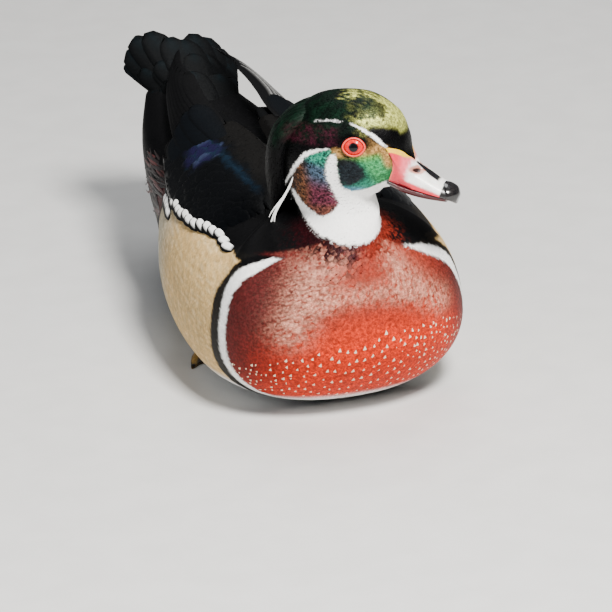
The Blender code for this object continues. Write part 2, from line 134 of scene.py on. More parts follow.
# Tucked legs and feet, left side: path of the shank and its radii, the toes' joint, angles and lengths, the
# height of a toe, the width of its bell as an angle, how much of its height fades towards the claw, the web's
# length and thickness, the reach of the knuckle, the inner radius, and the web's outer length and height
LEG_PATH = [(0.030, 0.070, 0.030), (0.036, 0.082, 0.012), (0.038, 0.078, 0.0052), (0.041, 0.062, 0.0042),
            (0.0445, 0.0475, 0.0036)]
LEG_RADII = [0.0042, 0.0040, 0.0037, 0.0029, 0.0030]
FOOT_JOINT = (0.0447, 0.0450)
TOE_ANGLES = (radians(-13.0), radians(5.0), radians(24.0))
TOE_LENGTHS = (0.042, 0.050, 0.044)
TOE_HEIGHT = 0.0040
TOE_SHARE = 0.075
TOE_FADE = 0.72
WEB_LENGTH = 0.036
WEB_THICK = 0.0012
KNUCKLE_REACH = 0.16
FOOT_START = 0.0012
EDGE_SHARE = 0.72
EDGE_HEIGHT = 0.35


def smooth(x, low, high):
    """Soft step: 0 up to low, 1 from high on, 3 s^2 - 2 s^3 between them with s = (x - low) / (high - low)."""
    share = np.clip((x - low) / (high - low), 0.0, 1.0)
    return share * share * (3 - 2 * share)


def mix(a, b, share):
    """Straight blend of two numbers: (1 - share) a + share b."""
    return a + (b - a) * share


def tone(a, b, share):
    """Straight blend of two colours or directions, with one share for all three of their numbers."""
    return a + (b - a) * np.asarray(share)[..., None]


def dye(red, green, blue):
    """Linear colour from the three shares of 255 by which a colour is usually named."""
    value = np.array([red, green, blue]) / 255.0
    return np.where(value <= 0.04045, value / 12.92, ((value + 0.055) / 1.055) ** 2.4)


def ripple(points, size, seed):
    """Soft mottling between about -1 and 1: the mean of eight plane waves of nearly one wavelength."""
    draw = np.random.default_rng(seed)
    way = draw.normal(size=(8, 3))
    way /= np.linalg.norm(way, axis=1, keepdims=True)
    number = 2 * pi / size * draw.uniform(0.6, 1.6, 8)
    phase = draw.uniform(0, 2 * pi, 8)
    return np.sin(points @ way.T * number + phase).sum(-1) / 3.0


def hermite(rows, place):
    """Smooth curve through the rows of a table; place runs from 0 at the first row."""
    rows = np.asarray(rows, float)
    slope = np.gradient(rows, axis=0)
    low = np.clip(np.floor(place).astype(int), 0, len(rows) - 2)
    u = (place - low)[:, None]
    from_a = 2 * u**3 - 3 * u**2 + 1
    leave = u**3 - 2 * u**2 + u
    arrive = u**3 - u**2
    return from_a * rows[low] + leave * slope[low] + (1 - from_a) * rows[low + 1] + arrive * slope[low + 1]


def sway(y):
    """Sideways drift of the rump: the tail's sway times a soft step along y."""
    return TAIL_SWAY * smooth(y, SWAY_START, SWAY_START + SWAY_RUN)


def turned(ahead, side, height, turn):
    """World place of a point given before the head's turn: a rotation by turn about the neck's axis."""
    x = ahead * np.sin(turn) + side * np.cos(turn)
    y = NECK_Y - ahead * np.cos(turn) + side * np.sin(turn)
    return np.stack([x + sway(y), y, np.broadcast_to(height, x.shape)], axis=-1)


def loft(stations, place, angle):
    """Grid of loft points and the same points before the head's turn.

    Each ring is a superellipse between back line and belly line: cos and sin of the angle, each raised
    to 2 / roundness, times the spine's half and the half width.  The ring then turns with the head.
    """
    q = hermite([[*top, *low, *rest] for top, low, *rest in stations], np.asarray(place, float))
    top, low, half, level, power, turn = q[:, 0:2], q[:, 2:4], q[:, 4], q[:, 5], q[:, 6], q[:, 7] * HEAD_YAW
    middle = low + (top - low) * level[:, None]
    power = (2 / power)[:, None]
    rise = np.sign(np.cos(angle)) * np.abs(np.cos(angle)) ** power
    side = np.sign(np.sin(angle)) * np.abs(np.sin(angle)) ** power * half[:, None]
    arm = np.where(rise[..., None] > 0, (top - middle)[:, None], (middle - low)[:, None])
    plane = middle[:, None] + arm * rise[..., None]
    height = np.maximum(plane[..., 1], 0.0)
    ahead = NECK_Y - plane[..., 0]
    return turned(ahead, side, height, turn[:, None]), np.stack([ahead, -side, height], axis=-1)


class Sheet:
    """A surface as a dense grid of points, ready to carry feathers.

    Axis 0 follows the lie of the feathers, in even steps along each line; axis 1 goes across.
    """

    def __init__(self, points, extra, across, closed, step=0.0004):
        gap = np.linalg.norm(np.diff(points, axis=0), axis=-1)
        run = np.concatenate([np.zeros((1, points.shape[1])), np.cumsum(gap, axis=0)])
        self.reach = run[-1]
        self.step = step
        self.closed = closed
        self.across = across
        marks = np.arange(0.0, run.max() + step, step)
        fields = np.concatenate([points, extra], axis=-1)
        even = np.empty((len(marks), points.shape[1], fields.shape[-1]))
        for column in range(points.shape[1]):
            for k in range(fields.shape[-1]):
                even[:, column, k] = np.interp(marks, run[:, column], fields[:, column, k])
        self.point = even[..., :3]
        self.extra = even[..., 3:]
        along = np.gradient(self.point, axis=0)
        if closed:
            wrapped = np.concatenate([self.point[:, -2:-1], self.point, self.point[:, 1:2]], axis=1)
            over = np.gradient(wrapped, axis=1)[:, 1:-1]
        else:
            over = np.gradient(self.point, axis=1)
        length = np.linalg.norm(along, axis=-1, keepdims=True)
        for row in range(1, len(marks)):
            ended = length[row, :, 0] < 0.2 * step
            along[row, ended] = along[row - 1, ended]
        ahead = along / np.maximum(np.linalg.norm(along, axis=-1, keepdims=True), 1e-12)
        normal = np.cross(over, ahead)
        normal /= np.maximum(np.linalg.norm(normal, axis=-1, keepdims=True), 1e-12)
        aside = np.cross(ahead, normal)
        self.ahead = ahead
        self.normal = normal
        self.shear = (over * ahead).sum(-1)
        self.spread = np.maximum((over * aside).sum(-1), 1e-6)

    def read(self, field, a, b):
        """Value between grid points: the bilinear blend of the four around (a, b)."""
        rows, columns = field.shape[:2]
        if self.closed:
            b = np.mod(b, columns - 1)
        a = np.clip(a, 0, rows - 1.001)
        b = np.clip(b, 0, columns - 1.001)
        i = a.astype(int)
        j = b.astype(int)
        u = a - i
        v = b - j
        if field.ndim == 3:
            u = u[..., None]
            v = v[..., None]
        near = field[i, j] * (1 - u) + field[i + 1, j] * u
        far = field[i, j + 1] * (1 - u) + field[i + 1, j + 1] * u
        return near * (1 - v) + far * v

    def shift(self, a, b, ahead, aside):
        """Grid place reached from (a, b) by going ahead and aside by lengths on the surface."""
        move = aside / self.read(self.spread, a, b)
        return a + (ahead - move * self.read(self.shear, a, b)) / self.step, b + move


def rows_of_roots(sheet, spacing, width, draw, wobble=0.15):
    """Feather roots in staggered rows: row lines are at even sums of step / spacing along each line,
    and roots in a row at even sums of length / width counted up from both sides of the belly."""
    rows, columns = sheet.point.shape[:2]
    count = np.cumsum(sheet.step / spacing, axis=0)
    inside = np.arange(rows)[:, None] * sheet.step <= sheet.reach[None]
    marks = np.arange(0.5, (count * inside).max(), 1.0)
    lines = np.stack([np.interp(marks, count[:, j], np.arange(rows)) for j in range(columns)], axis=1)
    last = sheet.reach / sheet.step
    lines = np.minimum(lines, last + 1)
    halves = [(0, columns, 1)]
    if sheet.closed:
        halves = [(0, columns // 2 + 1, 1), (columns - 1, columns // 2 - 1, -1)]
    found = []
    for k, line in enumerate(lines):
        for begin, end, way in halves:
            j = np.arange(begin, end, way)
            place = sheet.read(sheet.point, line[j], j.astype(float))
            gap = np.linalg.norm(np.diff(place, axis=0), axis=-1)
            wide = sheet.read(width, line[j], j.astype(float))
            total = np.concatenate([[0.0], np.cumsum(gap * 2 / (wide[1:] + wide[:-1]))])
            start = 0.5 * (k % 2)
            if way < 0 and k % 2 == 0:
                start = 1.0
            spots = np.arange(start, total[-1], 1.0)
            b = np.interp(spots, total, j.astype(float) * way) * way
            a = np.interp(b * way, j.astype(float) * way, line[j])
            keep = a < np.interp(b * way, j.astype(float) * way, last[j])
            found.append(np.stack([a[keep], b[keep], np.full(keep.sum(), k)], axis=-1))
    roots = np.concatenate(found)
    stray = draw.uniform(-wobble, wobble, (len(roots), 2))
    e = sheet.read(spacing, roots[:, 0], roots[:, 1])
    w = sheet.read(width, roots[:, 0], roots[:, 1])
    a, b = sheet.shift(roots[:, 0], roots[:, 1], stray[:, 0] * e, stray[:, 1] * w)
    return a, b, roots[:, 2].astype(int)


def vane_template(lengths, across, root=0.35, widest=0.55, blunt=2.0):
    """One feather as a thin lens: rows at shares of its length, columns across, one rim for both sheets.

    The half width grows from the root's share to 1 at the widest place, then closes over the tip as
    (1 - s^blunt)^(1 / blunt) with s running from the widest place to the tip.
    """
    u = np.asarray(lengths, float)
    v = np.linspace(-1, 1, across)
    closing = np.clip((u - widest) / (1 - widest), 0, 1)
    profile = np.where(u < widest, root + (1 - root) * np.sin(pi / 2 * u / widest),
                       np.maximum(1 - closing**blunt, 0.0) ** (1 / blunt))
    profile[-1] = 0.30
    rows = len(u)
    uu, vv = np.meshgrid(u, v, indexing="ij")
    ww = np.broadcast_to(profile[:, None], uu.shape)
    rim = np.zeros(uu.shape, bool)
    rim[0] = rim[-1] = True
    rim[:, 0] = rim[:, -1] = True
    inner = ~rim
    bulge = (1 - vv**2) * np.sin(pi * np.clip(uu, 0.02, 0.98)) ** 0.5
    number = np.arange(rows * across).reshape(rows, across)
    under = number.copy()
    under[inner] = rows * across + np.arange(inner.sum())

    def triangles(grid, flip):
        a, b, c, d = grid[:-1, :-1].ravel(), grid[1:, :-1].ravel(), grid[1:, 1:].ravel(), grid[:-1, 1:].ravel()
        made = np.concatenate([np.stack([a, b, c], -1), np.stack([a, c, d], -1)])
        return made[:, ::-1] if flip else made

    return {
        "u": np.concatenate([uu.ravel(), uu[inner]]),
        "v": np.concatenate([vv.ravel(), vv[inner]]),
        "w": np.concatenate([ww.ravel(), ww[inner]]),
        "face": np.concatenate([np.where(rim, 0.0, bulge).ravel(), -bulge[inner]]),
        "triangles": np.concatenate([triangles(number, True), triangles(under, False)]),
    }


SMALL_VANE = vane_template([0.0, 0.40, 0.80, 1.0], 3)
BODY_VANE = vane_template([0.0, 0.30, 0.60, 0.84, 1.0], 3)
FINE_VANE = vane_template([0.0, 0.30, 0.50, 0.65, 0.78, 0.88, 0.95, 1.0], 5)
BROAD_VANE = vane_template([0.0, 0.2, 0.4, 0.6, 0.75, 0.88, 0.96, 1.0], 5, widest=0.6)
SILK_VANE = vane_template([0.0, 0.15, 0.32, 0.5, 0.68, 0.84, 0.94, 1.0], 3, root=0.5, widest=0.45, blunt=1.6)
LONG_VANE = vane_template(np.linspace(0, 1, 14) ** 0.85, 7, root=0.5, widest=0.70, blunt=2.6)


# Share of the sheet's normal in a feather's shading, unevenness of its height in millimetres, height of
# the lowest feather over the floor, and size of its patch in the UV map
SOFT_SHARE = 0.82
UNEVEN_LIFT = 0.025
LOWEST = 0.0002
PATCH = 0.003


def new_mesh(name, points, triangles, tint, lie=None, mark=None, uv=None, normals=None):
    """Mesh object from arrays: corner lists go in as they are, colours, lie and mark as point attributes.

    Where normals are given, the shading normal is (1 - SOFT_SHARE) of the mesh's own and SOFT_SHARE of them.
    """
    mesh = bpy.data.meshes.new(name)
    mesh.vertices.add(len(points))
    mesh.vertices.foreach_set("co", np.asarray(points, np.float32).ravel())
    mesh.loops.add(triangles.size)
    mesh.loops.foreach_set("vertex_index", triangles.astype(np.int32).ravel())
    mesh.polygons.add(len(triangles))
    side = triangles.shape[1]
    mesh.polygons.foreach_set("loop_start", np.arange(0, triangles.size, side, dtype=np.int32))
    mesh.polygons.foreach_set("loop_total", np.full(len(triangles), side, np.int32))
    mesh.update(calc_edges=True)
    mesh.shade_smooth()
    layers = [("tint", "FLOAT_COLOR", "color", tint), ("lie", "FLOAT_VECTOR", "vector", lie),
              ("mark", "FLOAT", "value", mark)]
    for label, kind, field, values in layers:
        if values is not None:
            layer = mesh.attributes.new(label, kind, "POINT")
            layer.data.foreach_set(field, np.asarray(values, np.float32).ravel())
    if uv is not None:
        layer = mesh.uv_layers.new(name="OFBake")
        layer.uv.foreach_set("vector", np.asarray(uv[triangles.ravel()], np.float32).ravel())
    if normals is not None:
        plain = np.empty(len(points) * 3, np.float32)
        mesh.vertex_normals.foreach_get("vector", plain)
        soft = mix(plain.reshape(-1, 3), normals, SOFT_SHARE)
        soft /= np.maximum(np.linalg.norm(soft, axis=1, keepdims=True), 1e-9)
        mesh.normals_split_custom_set_from_vertices(soft.tolist())
    made = bpy.data.objects.new(name, mesh)
    bpy.context.scene.collection.objects.link(made)
    return made


def lay_feathers(sheet, a, b, length, width, template, depth, thick, colours, draw,
                 lift=0.0, lean=0.0, curl=3.0, uneven=0.08, stray=0.06, tuck=0.0):
    """Feathers on a sheet as arrays of points, corners and colours.

    A point at share u of the length and v across lies on the sheet ahead of the root by u times the
    length and aside by v times the half width; it is sunk by depth (1 - u)^curl and by tuck (u^6 + v^2 / 2),
    and raised by half the thickness on the upper face.  Each feather has a patch of the UV map at its root.
    """
    n = len(a)
    length = np.broadcast_to(length, n) * draw.uniform(1 - uneven, 1 + uneven, n)
    width = np.broadcast_to(width, n) * draw.uniform(1 - uneven, 1 + uneven, n)
    lean = (np.broadcast_to(lean, n) + draw.normal(0, stray, n))[:, None]
    own = draw.uniform(0, 1, n)
    level = np.broadcast_to(lift, n) + draw.uniform(-UNEVEN_LIFT, UNEVEN_LIFT, n) * MM
    u, v, w, face = (template[key][None] for key in ("u", "v", "w", "face"))
    far = u * length[:, None]
    middle = sheet.shift(a[:, None], b[:, None], far * np.cos(lean), far * np.sin(lean))
    out = v * w * width[:, None] / 2
    va, vb = sheet.shift(*middle, -out * np.sin(lean), out * np.cos(lean))
    u, v, own = np.broadcast_arrays(u, v, own[:, None])
    point = sheet.read(sheet.point, va, vb)
    normal = sheet.read(sheet.normal, va, vb)
    normal /= np.maximum(np.linalg.norm(normal, axis=-1, keepdims=True), 1e-9)
    height = level[:, None] - np.broadcast_to(depth, n)[:, None] * (1 - u) ** curl
    height = height - tuck * (u**6 + v**2 / 2) + face * thick / 2
    place = point + normal * height[..., None]
    place[..., 2] = np.maximum(place[..., 2], LOWEST)
    colour, mark = colours(sheet, va, vb, u, v, own)
    rows, columns = sheet.point.shape[:2]
    root = np.stack([0.02 + 0.95 * a / rows, 0.02 + 0.95 * np.mod(b, columns - 1) / columns], axis=-1)
    patch = np.stack([u - 0.5, v / 2], axis=-1) * PATCH
    corners = template["triangles"][None] + (np.arange(n) * u.shape[1])[:, None, None]
    return {
        "points": place.reshape(-1, 3),
        "triangles": corners.reshape(-1, 3),
        "tint": colour.reshape(-1, 4),
        "mark": np.broadcast_to(mark, place.shape[:2]).reshape(-1),
        "lie": np.stack([(1 - u) * length[:, None] / MM, out / MM, own], axis=-1).reshape(-1, 3),
        "uv": (root[:, None] + patch).reshape(-1, 2),
        "normals": normal.reshape(-1, 3),
    }


def join(parts):
    """One set of arrays from several; the corner numbers of each follow those before it."""
    first = 0
    corners = []
    for part in parts:
        corners.append(part["triangles"] + first)
        first += len(part["points"])
    whole = {key: np.concatenate([p[key] for p in parts]) for key in parts[0] if key != "triangles"}
    whole["triangles"] = np.concatenate(corners)
    return whole


def near_line(q, line):
    """Distance from points to a polyline, and how far along it the nearest place is, from 0 to 1."""
    line = np.asarray(line, float)
    best = np.full(q.shape[:-1], 1e9)
    where = np.zeros(q.shape[:-1])
    parts = len(line) - 1
    for k in range(parts):
        edge = line[k + 1] - line[k]
        share = np.clip(((q - line[k]) @ edge) / (edge @ edge), 0, 1)
        gap = np.linalg.norm(q - line[k] - share[..., None] * edge, axis=-1)
        nearer = gap < best
        best = np.where(nearer, gap, best)
        where = np.where(nearer, (k + share) / parts, where)
    return best, where


def within(q, outline):
    """Signed distance inside a closed outline in the plane: positive inside, negative outside."""
    outline = np.asarray(outline, float)
    gap, _ = near_line(q, np.concatenate([outline, outline[:1]]))
    odd = np.zeros(q.shape[:-1], bool)
    after = np.roll(outline, -1, axis=0)
    for (x0, y0), (x1, y1) in zip(outline, after):
        crosses = (y0 > q[..., 1]) != (y1 > q[..., 1])
        where = x0 + (q[..., 1] - y0) / (y1 - y0 if y1 != y0 else 1e-9) * (x1 - x0)
        odd ^= crosses & (q[..., 0] < where)
    return np.where(odd, gap, -gap)


# Plumage colours
BLACK = dye(4, 4, 5)
SOOT = dye(8, 7, 7)
MANTLE = dye(12, 11, 10)
WHITE = dye(253, 253, 251)
CHESTNUT = dye(142, 44, 30)
CHESTNUT_LOW = dye(204, 46, 8)
CHESTNUT_DARK = dye(58, 14, 20)
# Painted sheen of the breast
CHEST_SHEEN = dye(218, 158, 134)
BUFF = dye(212, 176, 116)
BUFF_GREY = dye(182, 172, 148)
BUFF_SHADE = dye(130, 100, 58)
# Painted highlight on the flank's fibres
BUFF_HIGHLIGHT = dye(238, 222, 184)
CROWN_GREEN = dye(8, 27, 17)
# Painted highlight: the gold sheen of light on the crown
CROWN_HIGHLIGHT_GOLD = dye(196, 200, 104)
CREST_PURPLE = dye(60, 19, 34)
CHEEK_TEAL = dye(48, 146, 118)
CHEEK_LEAF = dye(60, 146, 88)
CHEEK_GREEN = dye(92, 150, 74)
# Painted reflection of the sky, low on the cheek
CHEEK_SKY_HIGHLIGHT = dye(90, 130, 170)
CHEEK_BRONZE = dye(168, 128, 74)
CHEEK_DARK = dye(25, 19, 31)
PATCH_BLUE = dye(66, 84, 102)
PATCH_MAROON = dye(100, 46, 62)
PATCH_BRONZE = dye(112, 72, 46)
MAROON = dye(66, 22, 24)
WING_BLUE = dye(24, 52, 74)
WING_PURPLE = dye(38, 32, 76)
WING_BLACK = dye(4, 5, 7)
BILL_RED = dye(222, 44, 62)
BILL_PINK = dye(238, 108, 120)

# Head markings before the head's turn, in millimetres: lines as ahead of the neck's axis,
# aside and height, outlines on the side of the head as ahead and height, outlines on the crown as ahead
# and aside
BROW_LINE = [(34.5, 15.5, 148.5), (31.0, 17.0, 152.0), (28.0, 17.5, 155.0), (25.0, 18.5, 157.0),
             (21.0, 19.0, 159.5), (17.0, 19.0, 161.0), (13.0, 19.0, 162.0), (4.0, 19.0, 162.5),
             (-8.0, 18.0, 161.0), (-14.0, 16.5, 159.0), (-22.0, 13.5, 155.5), (-28.0, 11.0, 149.0)]
CHEEK_LINE = [(5.5, 24.0, 148.5), (0.0, 24.0, 147.5), (-5.0, 23.5, 146.0), (-9.0, 23.0, 144.0),
              (-11.5, 23.0, 140.5), (-14.0, 22.5, 136.5), (-15.5, 21.5, 131.5), (-18.5, 18.5, 124.5),
              (-22.0, 17.0, 119.0), (-27.0, 14.0, 113.5), (-30.5, 12.0, 107.5)]
THROAT = [(33.0, 128.5), (30.5, 128.0), (27.0, 126.5), (23.0, 125.0), (19.0, 124.0), (15.0, 124.0),
          (12.0, 125.5), (10.5, 127.0), (9.5, 130.0), (9.5, 144.0), (8.0, 146.0), (6.0, 145.0),
          (4.0, 141.0), (3.0, 137.0), (3.0, 132.5), (5.5, 126.5), (7.0, 123.5), (9.5, 120.0),
          (11.0, 117.5), (11.5, 113.0), (10.0, 110.5), (8.0, 110.5), (4.0, 112.0), (-4.5, 117.0),
          (-10.0, 121.5), (-12.0, 123.5), (-13.0, 123.0), (-12.5, 121.5), (-8.0, 115.0), (-4.0, 111.0),
          (7.0, 106.5), (15.5, 103.0), (23.5, 100.5), (32.0, 97.5), (46.0, 96.5), (46.0, 124.0)]
REAR_PATCH = [(4.5, 148.5), (-0.5, 147.0), (-5.0, 145.5), (-9.5, 143.0), (-12.5, 137.5), (-14.0, 132.5),
              (-14.5, 127.5), (-12.5, 122.5), (-10.0, 120.5), (-4.5, 116.0), (4.0, 111.0), (8.0, 109.0),
              (12.0, 111.0), (13.0, 117.0), (8.0, 126.0), (5.0, 138.0), (8.0, 147.0)]
CHEEK = [(5.0, 147.5), (10.0, 149.5), (20.0, 147.0), (30.0, 150.0), (34.5, 149.0), (38.0, 142.0),
         (37.0, 132.0), (33.5, 128.0), (26.0, 125.0), (19.0, 122.5), (12.0, 124.0), (8.0, 130.0),
         (8.0, 140.0)]
DARK_CHEEK = [(9.0, 143.0), (14.0, 144.0), (19.5, 142.5), (23.5, 138.0), (23.5, 133.0), (20.0, 129.5),
              (14.0, 127.0), (9.5, 128.5)]
# Outline of the painted gold highlight on the crown, and of the darker gap inside it, as ahead and aside
CROWN_HIGHLIGHT_OUTLINE = [(9.0, -6.0), (9.0, 7.0), (15.0, 15.5), (21.0, 19.0), (26.0, 17.5), (33.0, 13.0),
              (42.0, 7.0), (43.0, -6.0)]
CROWN_HIGHLIGHT_GAP = [(11.0, 11.0), (13.0, 16.5), (20.0, 17.5), (27.0, 14.5), (33.5, 9.5), (31.0, 3.5),
              (21.0, 4.5)]


def head_plumage(q, stray):
    """Colours, gloss and whiteness of the head and neck from places before the head's turn, in millimetres.

    Each marking is a soft step of the distance inside its outline or from its line, laid over those before.
    The gold on the crown is a painted highlight, and the pale blue low on the cheek a painted reflection of the
    sky.
    """
    ahead, aside, height = q[..., 0], np.abs(q[..., 1]), q[..., 2]
    fine = ripple(q, 2.2, 11) * 0.35 + stray * 0.45
    broad = ripple(q, 9.0, 12)
    face = np.stack([ahead + fine, height + 0.7 * fine], axis=-1)
    solid = np.stack([ahead, aside, height], axis=-1)

    crown = tone(CROWN_GREEN, BLACK, np.clip(0.35 + 0.35 * broad, 0, 1))
    colour = tone(np.broadcast_to(BLACK, q.shape), crown, smooth(height - 0.25 * ahead, 150.0, 158.0))
    gloss = np.full(q.shape[:-1], 0.75)

    silk = ripple(q * [0.35, 1.6, 1.0], 2.0, 15)
    top = np.stack([ahead + 2.2 * silk + 0.8 * fine, aside + fine], axis=-1)
    # Painted highlight: streaky gold sheen on the crown, taken out again in a darker gap
    crown_highlight = smooth(within(top, CROWN_HIGHLIGHT_OUTLINE), -2.5, 3.0) * smooth(height, 152.0, 156.0)
    crown_highlight = crown_highlight * (1 - 0.92 * smooth(within(top, CROWN_HIGHLIGHT_GAP), -1.2, 1.0))
    crown_highlight = crown_highlight * smooth(ahead - 0.35 * aside + 5.0 * silk, 5.0, 15.0) * np.clip(0.85 + 0.30 * silk, 0, 1)
    fringe = smooth(-(height - 0.35 * (aside - 8.0)), -158.5, -155.0)
    fringe = fringe * smooth(aside, 5.0, 8.5) * smooth(ahead, 24.0, 27.0)
    crown_highlight = crown_highlight * (1 - fringe) * (1 - 0.5 * smooth(-height, -151.0, -147.0))
    crown_highlight = crown_highlight * (1 - smooth(height - 0.9 * ahead, 143.0, 150.0) * np.clip(0.65 - 0.9 * silk, 0.1, 0.95))
    colour = tone(colour, CROWN_HIGHLIGHT_GOLD, 0.92 * crown_highlight)

    brow_gap, _ = near_line(solid, BROW_LINE)
    behind = smooth(-ahead, -13.0, -6.0) * smooth(ahead, -24.0, -12.0)
    band = behind * smooth(height, 148.5, 151.5) * smooth(-height, -161.0, -157.0)
    dusky = np.clip(0.45 + 0.35 * broad + 0.35 * ripple(q, 1.6, 17) + 0.2 * stray, 0, 0.9)
    colour = tone(colour, CREST_PURPLE, band * dusky * smooth(aside, 8.0, 17.0))
    lore = smooth(ahead, 24.0, 28.0) * smooth(height, 146.0, 150.0) * smooth(aside, 8.0, 13.0)
    lore = lore * smooth(148.6 + 0.81 * (34.5 - ahead) - height, 0.2, 1.8)
    colour = tone(colour, tone(BLACK, CHEEK_BRONZE, 0.35), lore)

    cheek = tone(CHEEK_TEAL, CHEEK_LEAF, smooth(ahead + 0.4 * (height - 130.0), 22.0, 30.0))
    cheek = tone(cheek, CHEEK_GREEN, smooth(height - 0.12 * (ahead - 20.0), 140.0, 143.5))
    cheek = tone(cheek, CHEEK_BRONZE, smooth(height - 0.10 * (ahead - 20.0), 143.0, 146.0))
    near_bill = smooth(ahead + 0.25 * (height - 138.0), 31.5, 35.0) * smooth(height, 134.0, 139.0)
    cheek = tone(cheek, CHEEK_BRONZE, near_bill)
    # Painted highlight: a pale blue reflection of the sky along the cheek's lower border
    low_cheek_highlight = smooth(-(height + 0.12 * ahead), -130.5, -127.0) * smooth(-ahead, -25.0, -18.0)
    cheek = tone(cheek, CHEEK_SKY_HIGHLIGHT, 0.7 * low_cheek_highlight)
    cheek = tone(cheek, CHEEK_DARK, smooth(within(face, DARK_CHEEK) + 0.6 * fine, -2.6, 1.5) * 0.97)
    cheek = tone(cheek, BLACK, np.clip(0.15 * broad + 0.30 * stray + 0.25 * ripple(q, 1.6, 18), 0, 0.55))
    colour = tone(colour, cheek, smooth(within(face, CHEEK), -0.5, 0.8) * smooth(aside, 4.0, 8.0))

    bronze = smooth(-(ahead + 0.35 * (height - 125.0)), 1.0, 7.0) * (1 - smooth(height, 140, 146))
    rear = tone(PATCH_MAROON, PATCH_BLUE, smooth(height + 0.3 * ahead, 124.0, 134.0))
    rear = tone(rear, CHEEK_TEAL, smooth(height + 0.25 * ahead, 137.0, 143.0))
    rear = tone(rear, PATCH_BRONZE, bronze)
    rear = tone(rear, PATCH_BRONZE, smooth(-height, -119.0, -114.0) * 0.6)
    fleck = ripple(q, 1.5, 16) + 0.7 * stray + 0.8 * smooth(-ahead, 3.0, 12.0)
    rear = tone(rear, BLACK, 0.9 * smooth(fleck, -0.15, 0.8))
    colour = tone(colour, rear, smooth(within(face, REAR_PATCH), -0.5, 0.6) * smooth(aside, 4.0, 8.0))

    neck = smooth(-height, -112.0, -102.0) * smooth(ahead, -4.0, 10.0)
    collar = tone(tone(CHESTNUT_DARK, BLACK, 0.6), tone(CHESTNUT, BLACK, 0.25), smooth(-q[..., 1], -4.0, 9.0))
    colour = tone(colour, collar, neck * 0.9)

    half = np.interp(ahead, [14.0, 20.0, 24.0, 28.0, 31.0, 34.5], [0.15, 0.35, 0.75, 1.05, 1.0, 0.55])
    brow = smooth(-(brow_gap + 0.12 * fine), -half - 0.15, -half + 0.15) * smooth(ahead, 15.0, 20.0)
    thin = smooth(-(brow_gap + 0.30 * fine), -0.60, -0.30) * smooth(-ahead, -22.0, -18.0)
    thin = thin * smooth(ripple(q, 6.0, 14) + 0.35 * smooth(ahead, -10.0, 12.0), 0.0, 0.3) * 0.8
    cheek_gap, along = near_line(solid, CHEEK_LINE)
    half = 0.35 + 0.75 * smooth(along, 0.02, 0.25) - 0.35 * smooth(along, 0.45, 0.7)
    rear_line = smooth(-(cheek_gap + 0.10 * fine), -half - 0.15, -half + 0.15)
    crisp = np.stack([ahead + 0.35 * fine, height + 0.25 * fine], axis=-1)
    throat = smooth(within(crisp, THROAT), -0.25, 0.25)
    white = np.max([brow, thin, rear_line, throat], axis=0)
    return tone(colour, WHITE, white), gloss * (1 - white), white


def bar_edges(height, left):
    """Where the white and black bars lie along y at each height, in millimetres."""
    level = [40.0, 66.0, 71.5, 78.0, 83.5, 88.0, 91.0]
    shift = np.where(left, -6.5 * smooth(height, 40.0, 70.0), 0.0)
    front = np.interp(height, level, [-79.0, -79.8, -80.2, -81.7, -84.7, -87.0, -90.0]) + shift
    white = np.interp(height, level, [-73.4, -73.2, -73.0, -74.0, -76.5, -81.5, -87.0]) + shift
    black = np.interp(height, level, [-64.6, -64.6, -65.5, -68.8, -71.0, -74.5, -79.0]) + shift
    return front, white, black


def flank_top(y):
    """Height of the flank's upper edge along y, in millimetres."""
    return np.interp(y, [-80, -60, -40, 0, 20, 42, 56, 69, 85, 100, 115],
                     [86.0, 87.0, 88.0, 86.6, 85.4, 84.6, 83.0, 79.5, 68.0, 54.0, 40.0])


# Painted sheen on the breast: a line across it as x and height in millimetres, its half width, and its strength
BREAST_SHEEN_LINES = [
    ([(-8.0, 97.0), (-22.0, 84.0), (-30.0, 70.0), (-37.0, 56.0)], 10.0, 1.0),
    ([(17.0, 93.0), (24.0, 80.0), (35.0, 68.0), (46.0, 60.0)], 7.0, 1.0),
    ([(-22.0, 71.0), (4.0, 73.0), (26.0, 70.0)], 5.5, 0.8),
]


